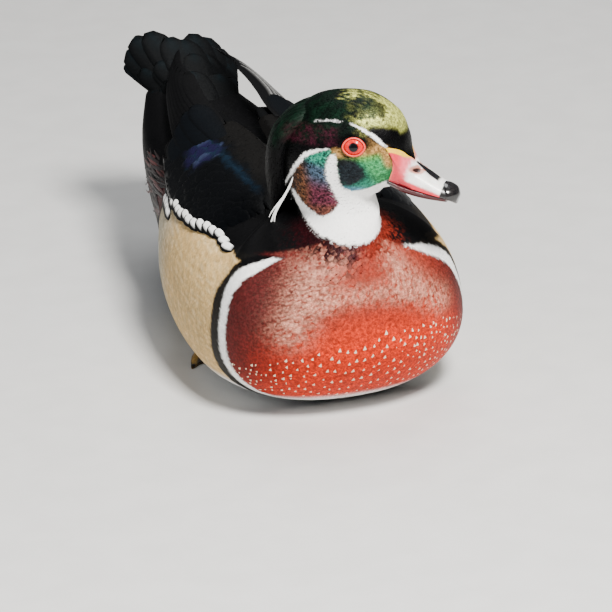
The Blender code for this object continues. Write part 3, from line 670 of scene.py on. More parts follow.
def body_plumage(point, left, stray):
    """Colours and gloss of the trunk from places in millimetres, and how far each is bar, chest or flank.

    Each marking is a soft step of the distance past its edge, laid over those before; the painted sheen
    of the breast falls off as a bell on both sides of three lines.
    """
    x, y, height = point[..., 0], point[..., 1], point[..., 2]
    fine = ripple(point, 5.0, 21) * 0.5 + stray * 1.2
    broad = ripple(point, 30.0, 22)
    front, white_edge, black_edge = bar_edges(height, left)
    y_rough = y + 0.06 * fine

    colour = tone(np.broadcast_to(MANTLE, point.shape), SOOT, np.clip(0.5 + 0.4 * broad, 0, 1))
    rear = smooth(y, 60.0, 90.0)
    colour = tone(colour, BLACK, rear)
    gloss = 0.15 + 0.25 * rear

    top = flank_top(y) + np.where(left, 3.0 * smooth(-y, -20.0, 10.0), 0.0)
    flank = smooth(top - height + 0.3 * fine, -0.3, 0.5) * smooth(-y, -94.0, -88.0)
    fibre = ripple(point * [0.8, 0.16, 1.1], 2.2, 24)
    # Greyer towards the rear: partly the flank's own grey, partly painted shade
    buff = tone(BUFF_GREY, BUFF, smooth(-y + 4.0 * fibre, -48.0, -2.0))
    buff = tone(buff, BUFF_SHADE, np.clip(0.22 * fibre + 0.12 * stray, 0, 0.35))
    # Painted highlight: the light side of the fibre streaks
    buff = tone(buff, BUFF_HIGHLIGHT, np.clip(-0.30 * fibre, 0, 0.35))
    colour = tone(colour, buff, flank)
    gloss = mix(gloss, 0.02, flank)
    colour = tone(colour, WHITE, smooth(-height, -22.0, -12.0) * smooth(-y, -98.0, -86.0))
    behind = smooth(y + 0.4 * (height - 40.0) + fine, 78.0, 84.0) * smooth(top - height, 0.0, 6.0)
    colour = tone(colour, SOOT, behind * smooth(-height, -90.0, -70.0))
    maroon = smooth(y, 70.0, 78.0) * smooth(-y, -104.0, -94.0)
    maroon = maroon * smooth(height, 62.0, 68.0) * smooth(-height, -90.0, -84.0)
    colour = tone(colour, MAROON, maroon * smooth(np.abs(x), 34.0, 42.0))

    black = smooth(-y_rough, -black_edge - 0.6, -black_edge + 0.6) * smooth(-height, -92.0, -89.5)
    colour = tone(colour, BLACK, black)
    gloss = mix(gloss, 0.3, black)
    white = smooth(-y_rough, -white_edge - 0.4, -white_edge + 0.4) * smooth(-height, -90.5, -89.0)
    chest = smooth(-y_rough, -front - 0.4, -front + 0.4)
    chest = np.maximum(chest, smooth(height, 89.5, 91.0) * smooth(-y, 74.0, 80.0))
    white = white * (1 - chest)
    colour = tone(colour, WHITE, white)

    # Painted sheen: pale streaks of reflected light that fall off as bells on both sides of the sheen lines
    satin = ripple(point * [1.0, 1.0, 0.25], 1.6, 23)
    plane = np.stack([x + 1.5 * satin, height], axis=-1)
    pale = sum(most * np.exp(-(near_line(plane, line)[0] / wide) ** 2) for line, wide, most in BREAST_SHEEN_LINES)
    flankward = smooth(-x + 0.45 * (height - 50), 14.0, 62.0) + smooth(x + 0.30 * (height - 50), 42.0, 68.0)
    breast = tone(CHESTNUT, CHESTNUT_LOW, smooth(-height - 0.10 * np.abs(x - 5), -72.0, -46.0))
    breast = tone(breast, CHESTNUT_DARK, 0.9 * np.clip(flankward, 0, 1))
    breast = tone(breast, CHEST_SHEEN, np.clip(pale, 0, 1) * np.clip(0.48 + 0.40 * satin + 0.12 * stray, 0, 0.9))
    breast = tone(breast, CHESTNUT_DARK, np.clip((0.18 * stray + 0.20 * satin) * (1 - 0.5 * pale), 0, 0.4))
    colour = tone(colour, breast, chest)
    gloss = mix(gloss, 0.30, chest)
    limit = np.interp(y, [-112.0, -100.0, -92.0, -80.0, -60.0], [108.0, 101.0, 94.5, 91.0, 88.0])
    limit = limit - 6.0 * smooth(x, 12.0, 26.0) * smooth(y, -108.0, -98.0)
    cape = smooth(height - limit + 0.4 * fine, -0.8, 0.8) * smooth(np.abs(x), 10.0, 20.0)
    colour = tone(colour, BLACK, cape)
    gloss = gloss * (1 - 0.6 * cape)
    colour = tone(colour, WHITE, smooth(-height, -14.0, -8.0) * chest)
    return colour, gloss, chest, flank


def bird_plumage(sheet, a, b, stray):
    """Colours of the skin and coat at grid places of the body's sheet: head and body blended at the neck."""
    extra = sheet.read(sheet.extra, a, b)
    place = extra[..., 3]
    angle = np.interp(np.mod(b, len(sheet.across) - 1), np.arange(len(sheet.across)), sheet.across)
    head, head_gloss, head_white = head_plumage(extra[..., :3] / MM, stray)
    body, body_gloss, chest, flank = body_plumage(sheet.read(sheet.point, a, b) / MM, angle > 0, stray)
    share = smooth(place + 0.25 * stray, 9.3, 9.9)
    share = np.maximum(share, head_white * smooth(place, 9.2, 9.4))
    tint = with_gloss(tone(body, head, share), mix(body_gloss, head_gloss, share))
    return tint, chest * (1 - share), flank * (1 - share)


class Nodes:
    """A material's node tree, filled by short calls that each return an output."""

    def __init__(self, name):
        self.material = bpy.data.materials.new(name)
        self.material.use_nodes = True
        self.tree = self.material.node_tree
        self.shader = self.tree.nodes["Principled BSDF"]

    def join(self, source, socket):
        """Link an output to an input, or set the input when the source is a plain value."""
        if isinstance(source, bpy.types.NodeSocket):
            self.tree.links.new(source, socket)
        elif source is not None:
            socket.default_value = source

    def add(self, kind, *sources, **settings):
        """A node with its settings, its first inputs joined in order."""
        node = self.tree.nodes.new("ShaderNode" + kind)
        for name, value in settings.items():
            setattr(node, name, value)
        for source, socket in zip(sources, node.inputs):
            self.join(source, socket)
        return node

    def math(self, operation, *sources):
        """One step of arithmetic."""
        return self.add("Math", *sources, operation=operation).outputs[0]

    def times(self, *factors):
        """Product of outputs and numbers."""
        product = factors[0]
        for factor in factors[1:]:
            product = self.math("MULTIPLY", product, factor)
        return product

    def ranged(self, value, from_low, from_high, to_low, to_high):
        """Soft step from one range to another: to_low up to from_low, to_high from from_high on."""
        return self.add("MapRange", value, from_low, from_high, to_low, to_high,
                        interpolation_type="SMOOTHSTEP").outputs[0]

    def attribute(self, name, output):
        """A point attribute of the piece."""
        return self.add("Attribute", attribute_name=name).outputs[output]

    def split(self, vector):
        """The three numbers of a vector."""
        return self.add("SeparateXYZ", vector).outputs

    def vector(self, x, y, z):
        """A vector from three numbers."""
        return self.add("CombineXYZ", x, y, z).outputs[0]

    def place(self):
        """The point's place on the object."""
        return self.add("TexCoord").outputs["Object"]

    def noise(self, vector, scale, detail=2.0, rough=0.5):
        """Soft noise between 0 and 1, with scale waves to the unit."""
        node = self.add("TexNoise")
        for name, value in (("Vector", vector), ("Scale", scale), ("Detail", detail), ("Roughness", rough)):
            self.join(value, node.inputs[name])
        return node.outputs[0]

    def blend(self, share, a, b, kind="MIX"):
        """Colour a with colour b mixed in by a share."""
        node = self.add("Mix", data_type="RGBA", blend_type=kind)
        self.join(share, node.inputs[0])
        for value, socket in ((a, node.inputs[6]), (b, node.inputs[7])):
            if isinstance(value, (tuple, np.ndarray)):
                value = (*[float(v) for v in value[:3]], 1.0)
            self.join(value, socket)
        return node.outputs[2]

    def lit(self, colour, light):
        """Colour times one number."""
        return self.blend(1.0, colour, self.vector(light, light, light), "MULTIPLY")

    def bump(self, height, strength, distance):
        """Shading normal raised by a height between 0 and 1 over a distance in metres."""
        node = self.add("Bump")
        for name, value in (("Strength", strength), ("Distance", distance), ("Height", height)):
            self.join(value, node.inputs[name])
        return node.outputs[0]

    def finish(self, colour, roughness, metallic=0.0, normal=None, **fixed):
        """Join the sockets that vary and set those that are the same all over."""
        varied = {"Base Color": colour, "Roughness": roughness, "Metallic": metallic, "Normal": normal}
        for name, value in varied.items():
            self.join(value, self.shader.inputs[name])
        for name, value in fixed.items():
            self.shader.inputs[name.replace("_", " ")].default_value = value
        return self.material


# Pale three-sided tip of a breast feather: its length in millimetres, half width for each of them, and
# colour; colour of the fine cross lines on the flank
SPOT_LENGTH = 2.7
SPOT_SLOPE = 0.42
SPOT_COLOUR = (0.86, 0.72, 0.52)
LINE_COLOUR = (0.06, 0.045, 0.03)


def vane_finish(name, rough_low=0.34, rough_high=0.62, metal=0.55, pitch=0.42, specular=0.08,
                sparkle=0.0, sheen=0.0):
    """Feather vanes: barbs run out from the shaft to the tip, so their lines are where the distance
    from the tip plus 1.1 times the distance from the shaft is the same.  mark 1 paints a pale
    three-sided tip, and mark -1 fine wavy cross lines.  Glossy places get painted glints: fine grains
    of lighter and darker colour.  Pale ones show their barbs less."""
    n = Nodes(name)
    tint = n.attribute("tint", "Color")
    gloss = n.attribute("tint", "Alpha")
    back, aside, own = n.split(n.attribute("lie", "Vector"))
    mark = n.attribute("mark", "Fac")
    off = n.math("ABSOLUTE", aside)
    barb = n.math("MULTIPLY_ADD", off, 1.1, back)
    seed = n.times(own, 91.0)
    streak = n.noise(n.vector(n.math("DIVIDE", barb, pitch), n.times(off, 0.35), seed), 1.0, 3.0, 0.6)
    clump = n.noise(n.vector(n.times(barb, 0.55), n.times(off, 0.25), seed), 1.0)
    shaft = n.ranged(off, 0.05, 0.16, 0.95, 1.0)
    light = n.times(n.ranged(streak, 0.3, 0.7, 0.78, 1.20), n.ranged(clump, 0.3, 0.7, 0.86, 1.12),
                    n.ranged(own, 0.0, 1.0, 0.90, 1.08), shaft)
    # Painted glints: fine grains of lighter and darker colour where the feathers are glossy
    if sparkle:
        grain = n.ranged(n.noise(n.place(), 700.0, 3.0, 0.7), 0.36, 0.64, -0.75, 0.85)
        light = n.times(light, n.math("MULTIPLY_ADD", grain, n.times(gloss, sparkle), 1.0))
    calm = n.ranged(n.attribute("tint", "Fac"), 0.45, 0.80, 1.0, 0.25)
    light = n.math("MULTIPLY_ADD", n.math("SUBTRACT", light, 1.0), calm, 1.0)
    colour = n.lit(tint, light)

    spread = n.times(n.math("SUBTRACT", SPOT_LENGTH, back), SPOT_SLOPE)
    spot = n.ranged(n.math("SUBTRACT", spread, off), -0.10, 0.14, 0.0, 1.0)
    colour = n.blend(n.times(spot, n.ranged(mark, 0.3, 0.7, 0.0, 1.0)), colour, SPOT_COLOUR)
    phase = n.times(n.math("MULTIPLY_ADD", off, 0.35, back), 7.2)
    wave = n.math("SINE", n.math("MULTIPLY_ADD", streak, 3.0, phase))
    line = n.times(n.ranged(wave, 0.35, 0.95, 0.0, 0.42), n.ranged(mark, -0.7, -0.3, 1.0, 0.0))
    colour = n.blend(line, colour, LINE_COLOUR)

    roughness = n.math("MULTIPLY_ADD", gloss, rough_low - rough_high, rough_high)
    roughness = n.math("MULTIPLY_ADD", n.math("SUBTRACT", streak, 0.5), 0.25, roughness)
    normal = n.bump(n.math("MULTIPLY_ADD", shaft, 0.2, streak), 0.55, 0.00012)
    return n.finish(colour, roughness, n.times(gloss, metal), normal, Sheen_Weight=sheen, Sheen_Roughness=0.35,
                    Specular_IOR_Level=specular)


def skin_finish(name):
    """Down under the coat: the coat's colours, darkened as painted shade between the feathers, with a soft
    fluffy grain.
    """
    n = Nodes(name)
    fluff = n.noise(n.place(), 900.0, 4.0, 0.7)
    patchy = n.noise(n.place(), 120.0)
    # Painted shade: the fluff's light runs from 0.45 to 0.80, so the down is darker than the coat over it
    light = n.times(n.ranged(fluff, 0.3, 0.7, 0.45, 0.80), n.ranged(patchy, 0.3, 0.7, 0.85, 1.05))
    return n.finish(n.lit(n.attribute("tint", "Color"), light), n.ranged(fluff, 0.2, 0.8, 0.75, 0.95), 0.0,
                    n.bump(fluff, 0.6, 0.0003), Specular_IOR_Level=0.08)


def grid_triangles(rows, columns, closed):
    """Two triangles for each cell of a grid, wound so that they face out for a sheet's order."""
    number = np.arange(rows * columns).reshape(rows, columns)
    after = np.roll(number, -1, axis=1) if closed else number[:, 1:]
    here = number if closed else number[:, :-1]
    a, b, c, d = here[:-1].ravel(), here[1:].ravel(), after[1:].ravel(), after[:-1].ravel()
    return np.concatenate([np.stack([a, b, c], -1), np.stack([a, c, d], -1)])


def capped(points, triangles, rows, columns):
    """Close both ends of a tube with a fan to the middle of each end ring."""
    number = np.arange(rows * columns).reshape(rows, columns)
    hubs = np.array([points[number[0]].mean(0), points[number[-1]].mean(0)])
    first, last = number[0], number[-1]
    fans = [np.stack([np.full(columns, len(points)), first, np.roll(first, -1)], -1),
            np.stack([np.full(columns, len(points) + 1), np.roll(last, -1), last], -1)]
    return np.concatenate([points, hubs]), np.concatenate([triangles, *fans])


def facing_out(points, triangles):
    """The same triangles, all reversed if together they enclose a negative volume."""
    a, b, c = (points[triangles[:, k]] for k in range(3))
    volume = (a * np.cross(b, c)).sum()
    return triangles if volume > 0 else triangles[:, ::-1]


def solid_tube(points, colours):
    """Closed tube from a grid of rings, with one colour for each point."""
    rows, columns = points.shape[:2]
    flat = points.reshape(-1, 3)
    triangles = grid_triangles(rows, columns, True)
    flat, triangles = capped(flat, triangles, rows, columns)
    colours = colours.reshape(-1, 4)
    ends = np.stack([colours[:columns].mean(0), colours[-columns:].mean(0)])
    return flat, facing_out(flat, triangles), np.concatenate([colours, ends])


def settle(made, finish, nodes):
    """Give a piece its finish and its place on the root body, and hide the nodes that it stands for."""
    made.data.materials.append(finish)
    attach(made, "root")
    if nodes:
        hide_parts(*nodes)


def coat_piece(name, parts, finish, nodes=()):
    """One mesh object of feathers."""
    data = join(parts)
    made = new_mesh(name, data["points"], data["triangles"], data["tint"], data["lie"], data["mark"],
                    data["uv"], data["normals"])
    settle(made, finish, nodes)


# Coat sizes along the body, in millimetres at the stations from the tail end to the bill's edge:
# row spacing, feather width, feather length, depth of the coat
COAT = np.array([
    [6.0, 8.5, 27.0, 2.6], [5.4, 8.0, 25.0, 2.8], [5.0, 7.4, 22.0, 2.9], [4.6, 6.6, 17.0, 3.0],
    [4.3, 5.8, 14.0, 3.0], [4.1, 5.5, 13.0, 3.0], [3.9, 5.2, 12.5, 3.0], [3.7, 5.0, 11.5, 3.0],
    [3.5, 4.8, 10.5, 2.8], [2.9, 4.0, 8.6, 2.4], [2.2, 2.9, 7.0, 1.9], [1.7, 2.1, 5.8, 1.4],
    [1.45, 1.7, 4.8, 1.1], [1.3, 1.5, 4.2, 0.9], [1.15, 1.35, 3.6, 0.75], [1.05, 1.25, 3.0, 0.6],
    [0.95, 1.1, 2.4, 0.5], [0.85, 1.0, 1.9, 0.4], [0.8, 0.9, 1.6, 0.3],
])


def coat_size(place, column):
    """Value of the coat table at a station number, straight between stations."""
    return np.interp(place, np.arange(len(COAT)), COAT[:, column]) * MM


def body_sheet():
    """The body loft from the bill's edge to the tail end, with places before the turn and station numbers."""
    places = np.linspace(BILL_END, 0.0, 721)
    across = np.linspace(-pi, pi, 721)
    points, straight = loft(BODY, places, across)
    station = np.broadcast_to(places[:, None, None], (*points.shape[:2], 1))
    return Sheet(points, np.concatenate([straight, station], axis=-1), across, True)


def bill_border(angle):
    """Station number where feathers end and the bill begins, for each angle round the head.

    From the ridge it runs back to a sharp corner under the brow, forward again down the bill's side,
    and back to the gape; under the chin the feathers reach forward once more.
    """
    turn = np.degrees(np.abs(angle))
    station = [18.0, 17.7, 17.0, 16.15, 15.5, 15.02, 15.30, 15.62, 15.78, 15.78, 15.62, 15.41, 15.7, 16.3, 16.6]
    return np.interp(turn, [0, 15, 35, 55, 68, 76, 80, 86, 95, 108, 120, 134, 146, 160, 180], station)


def skin(sheet):
    """One skin for the whole bird: the loft drawn in along its normals by 0.92 of the coat's depth."""
    rows = np.linspace(0, 1, 330)[:, None]
    columns = np.arange(0, 720, 3)
    a = rows * (sheet.reach / sheet.step)[columns][None]
    b = np.broadcast_to(columns[None].astype(float), a.shape)
    place = sheet.read(sheet.extra, a, b)[..., 3]
    depth = coat_size(place, 3)[..., None] * 0.92
    point = sheet.read(sheet.point, a, b) - sheet.read(sheet.normal, a, b) * depth
    point[..., 2] = np.maximum(point[..., 2], 0.0)
    tint, _, _ = bird_plumage(sheet, a, b, np.zeros(a.shape))
    painted("skin", *solid_tube(point, tint), skin_finish("under_down"),
            ["trunk", "breast", "neck", "head", "rump"], "body_feathers")


# Pieces of the coat: name, lowest and highest station number, vane, and in millimetres the thickness of a
# vane and how far its tip and sides are tucked in.  From HEAD_START on a piece has the head's finish.
COAT_REGIONS = [
    ("coat_face", 13.4, 19.0, SMALL_VANE, 0.06, 0.06),
    ("coat_head", 11.6, 13.4, SMALL_VANE, 0.06, 0.06),
    ("coat_neck", 9.4, 11.6, BODY_VANE, 0.10, 0.12),
    ("coat_breast", 8.35, 9.4, FINE_VANE, 0.10, 0.12),
    ("coat_chest", 7.5, 8.35, FINE_VANE, 0.10, 0.12),
    ("coat_bars", 6.0, 7.5, FINE_VANE, 0.10, 0.12),
    ("coat_flank", 4.4, 6.0, FINE_VANE, 0.10, 0.12),
    ("coat_body", 2.8, 4.4, FINE_VANE, 0.10, 0.12),
    ("coat_rump", 0.0, 2.8, FINE_VANE, 0.10, 0.12),
]
HEAD_START = 9.4
LAP_LENGTH = 1.25
LAP_WIDTH = 1.6

# Upper limit of the pale tips on the breast: x and height in millimetres
SPOT_X = [-60.0, -50.0, -40.0, -20.0, 5.0, 28.0, 45.0, 56.0]
SPOT_TOP = [43.0, 47.0, 50.0, 54.0, 62.0, 61.0, 59.0, 55.0]

# Eye before the head's turn, in metres; its half axes, how deep its centre is sunk, and the half width and
# half height of its rim, in millimetres
EYE_AHEAD, EYE_ASIDE, EYE_HEIGHT = 0.0186, 0.0225, 0.1500
EYE_AXES = (5.9, 5.1, 4.4)
EYE_SUNK = 2.6
RIM_WIDE = 5.45
RIM_TALL = 4.72


def body_coat(sheet, draw):
    """Rows of feathers over the whole body, sorted into pieces of coat from face to rump.

    Bare places get none: the bill, the belly's flat and an ellipse round each eye.  Every second row low
    on the breast has pale tips.
    """
    place = sheet.extra[..., 3]
    a, b, row = rows_of_roots(sheet, coat_size(place, 0), coat_size(place, 1), draw)
    point = sheet.read(sheet.point, a, b)
    extra = sheet.read(sheet.extra, a, b)
    ahead, aside, height, at = extra.T
    angle = np.interp(np.mod(b, 720), np.arange(721), sheet.across)
    eye_gap = np.hypot((ahead - EYE_AHEAD) / 0.0071, (height - EYE_HEIGHT) / 0.0060)
    keep = (at < bill_border(angle) - 0.02) & (at > 0.15)
    keep &= (point[:, 2] > 0.0016) | (at > 9.5)
    keep &= ~((eye_gap < 1.0) & (np.abs(aside) > 0.012))
    a, b, at, point, row = a[keep], b[keep], at[keep], point[keep], row[keep]

    top_spot = np.interp(point[:, 0] / MM, SPOT_X, SPOT_TOP) * MM
    speckled = (row % 2 == 0) & (point[:, 2] < top_spot) & (point[:, 2] > 0.022) & (point[:, 1] < -0.086)

    def colours_for(spotted):
        def colours(sheet, va, vb, u, v, own):
            tint, chest, flank = bird_plumage(sheet, va, vb, own * 2 - 1)
            speck = (chest[:, :1] > 0.5) & spotted[:, None]
            return tint, speck - 1.0 * (flank.mean(1, keepdims=True) > 0.6) * ~speck

        return colours

    body_finish = vane_finish("contour_feathers", sparkle=1.6)
    head_finish = vane_finish("head_feathers", metal=0.45, pitch=0.30, specular=0.10, sparkle=0.8)
    for name, low, high, template, thick, tuck in COAT_REGIONS:
        chosen = (at >= low) & (at < high)
        wide, long, depth = (coat_size(at[chosen], column) for column in (1, 2, 3))
        part = lay_feathers(sheet, a[chosen], b[chosen], long * LAP_LENGTH, wide * LAP_WIDTH, template, depth,
                            thick * MM, colours_for(speckled[chosen]), draw, tuck=tuck * MM)
        finish, slot = (head_finish, "head_feathers") if low >= HEAD_START else (body_finish, "body_feathers")
        coat_piece(name, [part], finish)


def painted(name, points, triangles, colours, finish, nodes, slot, lie=None):
    """One closed mesh object with its colours."""
    settle(new_mesh(name, points, triangles, colours, lie), finish, nodes)


def with_gloss(colour, gloss=0.0):
    """Colours with the fourth number that carries gloss."""
    colour = np.asarray(colour, float)
    return np.concatenate([colour, np.broadcast_to(gloss, colour.shape[:-1])[..., None]], axis=-1)


def eye_frame(sheet, hand):
    """Centre on the head's surface and directions forward, up and out for one eye."""
    aim = turned(np.array([EYE_AHEAD]), np.array([hand * EYE_ASIDE]), np.array([EYE_HEIGHT]), HEAD_YAW)[0]
    gap = np.linalg.norm(sheet.point[::4, ::2] - aim, axis=-1)
    i, j = np.unravel_index(gap.argmin(), gap.shape)
    centre, out = sheet.point[i * 4, j * 2], sheet.normal[i * 4, j * 2]
    up = np.array([0.0, 0.0, 1.0]) - out * out[2]
    up /= np.linalg.norm(up)
    ahead = np.cross(up, out) * hand
    return centre, np.stack([ahead, up, out])


def eye_finish():
    """Wet eye: black pupil, red iris with finer and darker fibres towards its rim, clear coat."""
    n = Nodes("eye_wet")
    ahead, up, _ = n.split(n.attribute("lie", "Vector"))
    radius = n.math("SQRT", n.math("ADD", n.times(ahead, ahead), n.times(up, up)))
    turn = n.math("ARCTAN2", up, ahead)
    fibre = n.noise(n.vector(n.times(turn, 9.0), n.times(radius, 0.8), 0.0), 1.0, 4.0, 0.6)
    iris = n.blend(n.ranged(fibre, 0.35, 0.65, 0.0, 1.0), dye(188, 10, 14), dye(234, 30, 22))
    iris = n.blend(n.ranged(radius, 2.4, 3.2, 1.0, 0.0), iris, dye(170, 12, 16))
    iris = n.blend(n.ranged(radius, 4.8, 5.8, 0.0, 0.45), iris, dye(120, 8, 12))
    colour = n.blend(n.ranged(radius, 2.30, 2.50, 0.0, 1.0), (0.002, 0.002, 0.003), iris)
    return n.finish(colour, n.ranged(fibre, 0.3, 0.7, 0.22, 0.34), 0.0, n.bump(fibre, 0.15, 0.00005),
                    Coat_Weight=0.5, Coat_Roughness=0.02, Specular_IOR_Level=0.1)


def lid_finish():
    """Bare rim of the eye: coral and finely creased."""
    n = Nodes("eye_rim")
    crease = n.noise(n.place(), 1600.0, 3.0, 0.6)
    colour = n.blend(n.ranged(crease, 0.35, 0.65, 0.0, 0.35), n.attribute("tint", "Color"), dye(150, 24, 26))
    return n.finish(colour, n.ranged(crease, 0.3, 0.7, 0.30, 0.48), 0.0, n.bump(crease, 0.5, 0.00015),
                    Subsurface_Weight=0.12, Subsurface_Scale=0.001)


def eyes(sheet):
    """Eyeballs as ellipsoids sunk in the head, each with a creased rim whose round section is carried on
    an ellipse: (wide cos t, tall sin t), in millimetres."""
    wet, rim_finish = eye_finish(), lid_finish()
    for name, hand in (("left", 1), ("right", -1)):
        centre, axes = eye_frame(sheet, hand)
        polar = np.linspace(0, pi, 49)[1:-1, None]
        turn = np.linspace(0, 2 * pi, 96, endpoint=False)[None]
        ball = np.stack(np.broadcast_arrays(
            EYE_AXES[0] * np.sin(polar) * np.cos(turn), EYE_AXES[1] * np.sin(polar) * np.sin(turn),
            EYE_AXES[2] * np.cos(polar) - EYE_SUNK), axis=-1)
        flat, triangles, colour = solid_tube(ball, np.ones((*ball.shape[:2], 4)))
        world = centre + flat * MM @ axes
        triangles = facing_out(world, triangles)
        painted("eyeball_" + name, world, triangles, colour, wet, ["eye_" + name], "eye", flat)

        section = np.linspace(0, 2 * pi, 14, endpoint=False)[:, None]
        around = np.linspace(0, 2 * pi, 144, endpoint=False)[None]
        knob = 1 + 0.10 * np.sin(around * 31) + 0.06 * np.sin(around * 47 + 1.0)
        across = 0.52 * np.cos(section) * (0.92 + 0.08 * knob)
        height = 0.55 * np.sin(section) * knob
        wide = RIM_WIDE + across + 0.35 * np.abs(np.cos(around)) ** 8
        tall = RIM_TALL + across * 0.92
        ring = np.stack([wide * np.cos(around), tall * np.sin(around), 0.35 - 0.18 * across + height], axis=-1)
        # Painted highlight: lighter on the outward side of the rim's bead; the rim is also darker towards its
        # inner edge
        tint = tone(dye(222, 38, 32), dye(238, 84, 68), smooth(height, 0.1, 0.6))
        tint = with_gloss(tone(tint, dye(120, 16, 20), smooth(-across, 0.45, 0.66)))
        a = np.arange(ring.shape[0] * ring.shape[1]).reshape(ring.shape[:2])
        b, d = np.roll(a, -1, axis=0), np.roll(a, -1, axis=1)
        c = np.roll(b, -1, axis=1)
        triangles = np.stack([a, b, c, a, c, d], axis=-1).reshape(-1, 3)
        world = centre + ring.reshape(-1, 3) * MM @ axes
        triangles = facing_out(world, triangles)
        painted("eye_rim_" + name, world, triangles, tint.reshape(-1, 4), rim_finish, [], "eye")


def bill_finish():
    """Horn: painted colours with faint pores, smudges and fine lengthwise grain, softly polished."""
    n = Nodes("bill_horn")
    smudge = n.noise(n.place(), 260.0, 4.0, 0.6)
    pore = n.noise(n.place(), 2400.0)
    light = n.times(n.ranged(smudge, 0.3, 0.7, 0.86, 1.06), n.ranged(pore, 0.3, 0.6, 0.93, 1.0))
    relief = n.math("MULTIPLY_ADD", smudge, 0.6, pore)
    return n.finish(n.lit(n.attribute("tint", "Color"), light), n.ranged(smudge, 0.3, 0.7, 0.26, 0.42), 0.0,
                    n.bump(relief, 0.25, 0.00012), Coat_Weight=0.25, Coat_Roughness=0.2,
                    Subsurface_Weight=0.06, Subsurface_Scale=0.001)


def straight_of(point):
    """Places before the head's turn, in millimetres, of world points on the fully turned head."""
    x, y = point[..., 0], point[..., 1] - NECK_Y
    ahead = x * sin(HEAD_YAW) - y * cos(HEAD_YAW)
    side = x * cos(HEAD_YAW) + y * sin(HEAD_YAW)
    return np.stack([ahead, -side, point[..., 2]], axis=-1) / MM


def nail_finish():
    """Black nail: smooth horn, more polished than the bill."""
    n = Nodes("nail_horn")
    grain = n.noise(n.place(), 700.0, 3.0, 0.6)
    shade = n.blend(n.ranged(grain, 0.3, 0.7, 0.0, 1.0), (0.004, 0.004, 0.005), (0.014, 0.012, 0.012))
    return n.finish(shade, n.ranged(grain, 0.3, 0.7, 0.14, 0.26), 0.0, n.bump(grain, 0.2, 0.0001),
                    Coat_Weight=0.6, Coat_Roughness=0.08)


# Nostril's centre ahead of the neck's axis and above the floor, in millimetres, and the angle of the gape
# round the bill's base from its ridge
NOSTRIL = (47.1, 133.6)
GAPE = radians(136.0)


def nostril_gap(q, long, high):
    """Distance from the nostril's centre in a side view, in its half lengths: 1 is an ellipse's edge."""
    ahead = q[..., 0] - NOSTRIL[0]
    return np.hypot(ahead / long, (q[..., 2] - NOSTRIL[1] + 0.35 * ahead) / high)


def bill_paint(q, border):
    """Bill colours from straight places and the distance from the feathers' edge: yellow round the base,
    red, white on the sides, a black ridge, and a red strip along the cutting edge."""
    ahead, aside, height = q[..., 0], np.abs(q[..., 1]), q[..., 2]
    rough = 0.35 * ripple(q, 2.5, 31)
    colour = np.broadcast_to(BILL_RED, q.shape)
    pink = smooth(ahead + rough, 38.0, 42.5) * smooth(height + 0.45 * ahead, 148.0, 152.5)
    colour = tone(colour, BILL_PINK, pink)
    edge = height + 0.43 * (ahead - 40.0)
    white = smooth(ahead + 0.8 * rough - 0.25 * (height - 134.0), 41.6, 45.2)
    white = white * smooth(edge + 0.3 * rough, 129.0, 130.6)
    colour = tone(colour, dye(250, 248, 244), white)
    ridge_half = 1.2 + 1.9 * smooth(ahead, 45.0, 54.0)
    ridge = smooth(-(aside - ridge_half), -0.35, 0.35)
    ridge = ridge * smooth(ahead, 45.0, 46.0) * smooth(-ahead, -58.6, -57.0)
    colour = tone(colour, dye(16, 15, 17), ridge)
    grey = smooth(-(aside - ridge_half - 1.2), -0.8, 0.8)
    grey = grey * smooth(ahead, 46.0, 48.0) * smooth(-ahead, -58.0, -54.0)
    colour = tone(colour, dye(120, 108, 108), 0.35 * grey * (1 - ridge))
    nostril = nostril_gap(q, 2.4, 1.15)
    colour = tone(colour, dye(190, 110, 84), smooth(-nostril, -1.75, -1.1) * (aside > 2.0) * 0.85)
    colour = tone(colour, dye(40, 20, 18), smooth(-nostril, -0.95, -0.55) * (aside > 2.0))
    colour = tone(colour, dye(12, 11, 12), smooth(ahead - 0.28 * (height - 122.0) + 0.2 * rough, 59.6, 60.3))
    upper = smooth(height + 0.6 * (ahead - 34.0), 144.2, 146.0)
    band = mix(1.3, 3.7, upper * smooth(aside, 1.0, 9.0))
    yellow = smooth(-(border + 0.5 * rough), -band - 0.45, -band + 0.45)
    return tone(colour, tone(dye(240, 150, 104), dye(255, 200, 34), upper), yellow * (0.55 + 0.45 * upper))


def bill_rim(angle):
    """The feathers' edge round the bill's base, one point for each angle, closed under the chin by a
    straight blend between the corners of the gape that is raised by sin(pi share)."""
    around = np.clip(angle, -GAPE, GAPE)[:, None]
    rim = np.array([loft(BODY, bill_border(turn) + 0.10, turn)[0][0, 0] for turn in around])
    under = np.abs(angle) > GAPE
    share = (angle[under] % (2 * pi) - GAPE) / (2 * pi - 2 * GAPE)
    left, right = rim[np.abs(angle - GAPE).argmin()], rim[np.abs(angle + GAPE).argmin()]
    rim[under] = left + (right - left) * share[:, None]
    rim[under, 2] += 0.0012 * np.sin(pi * share)
    return rim


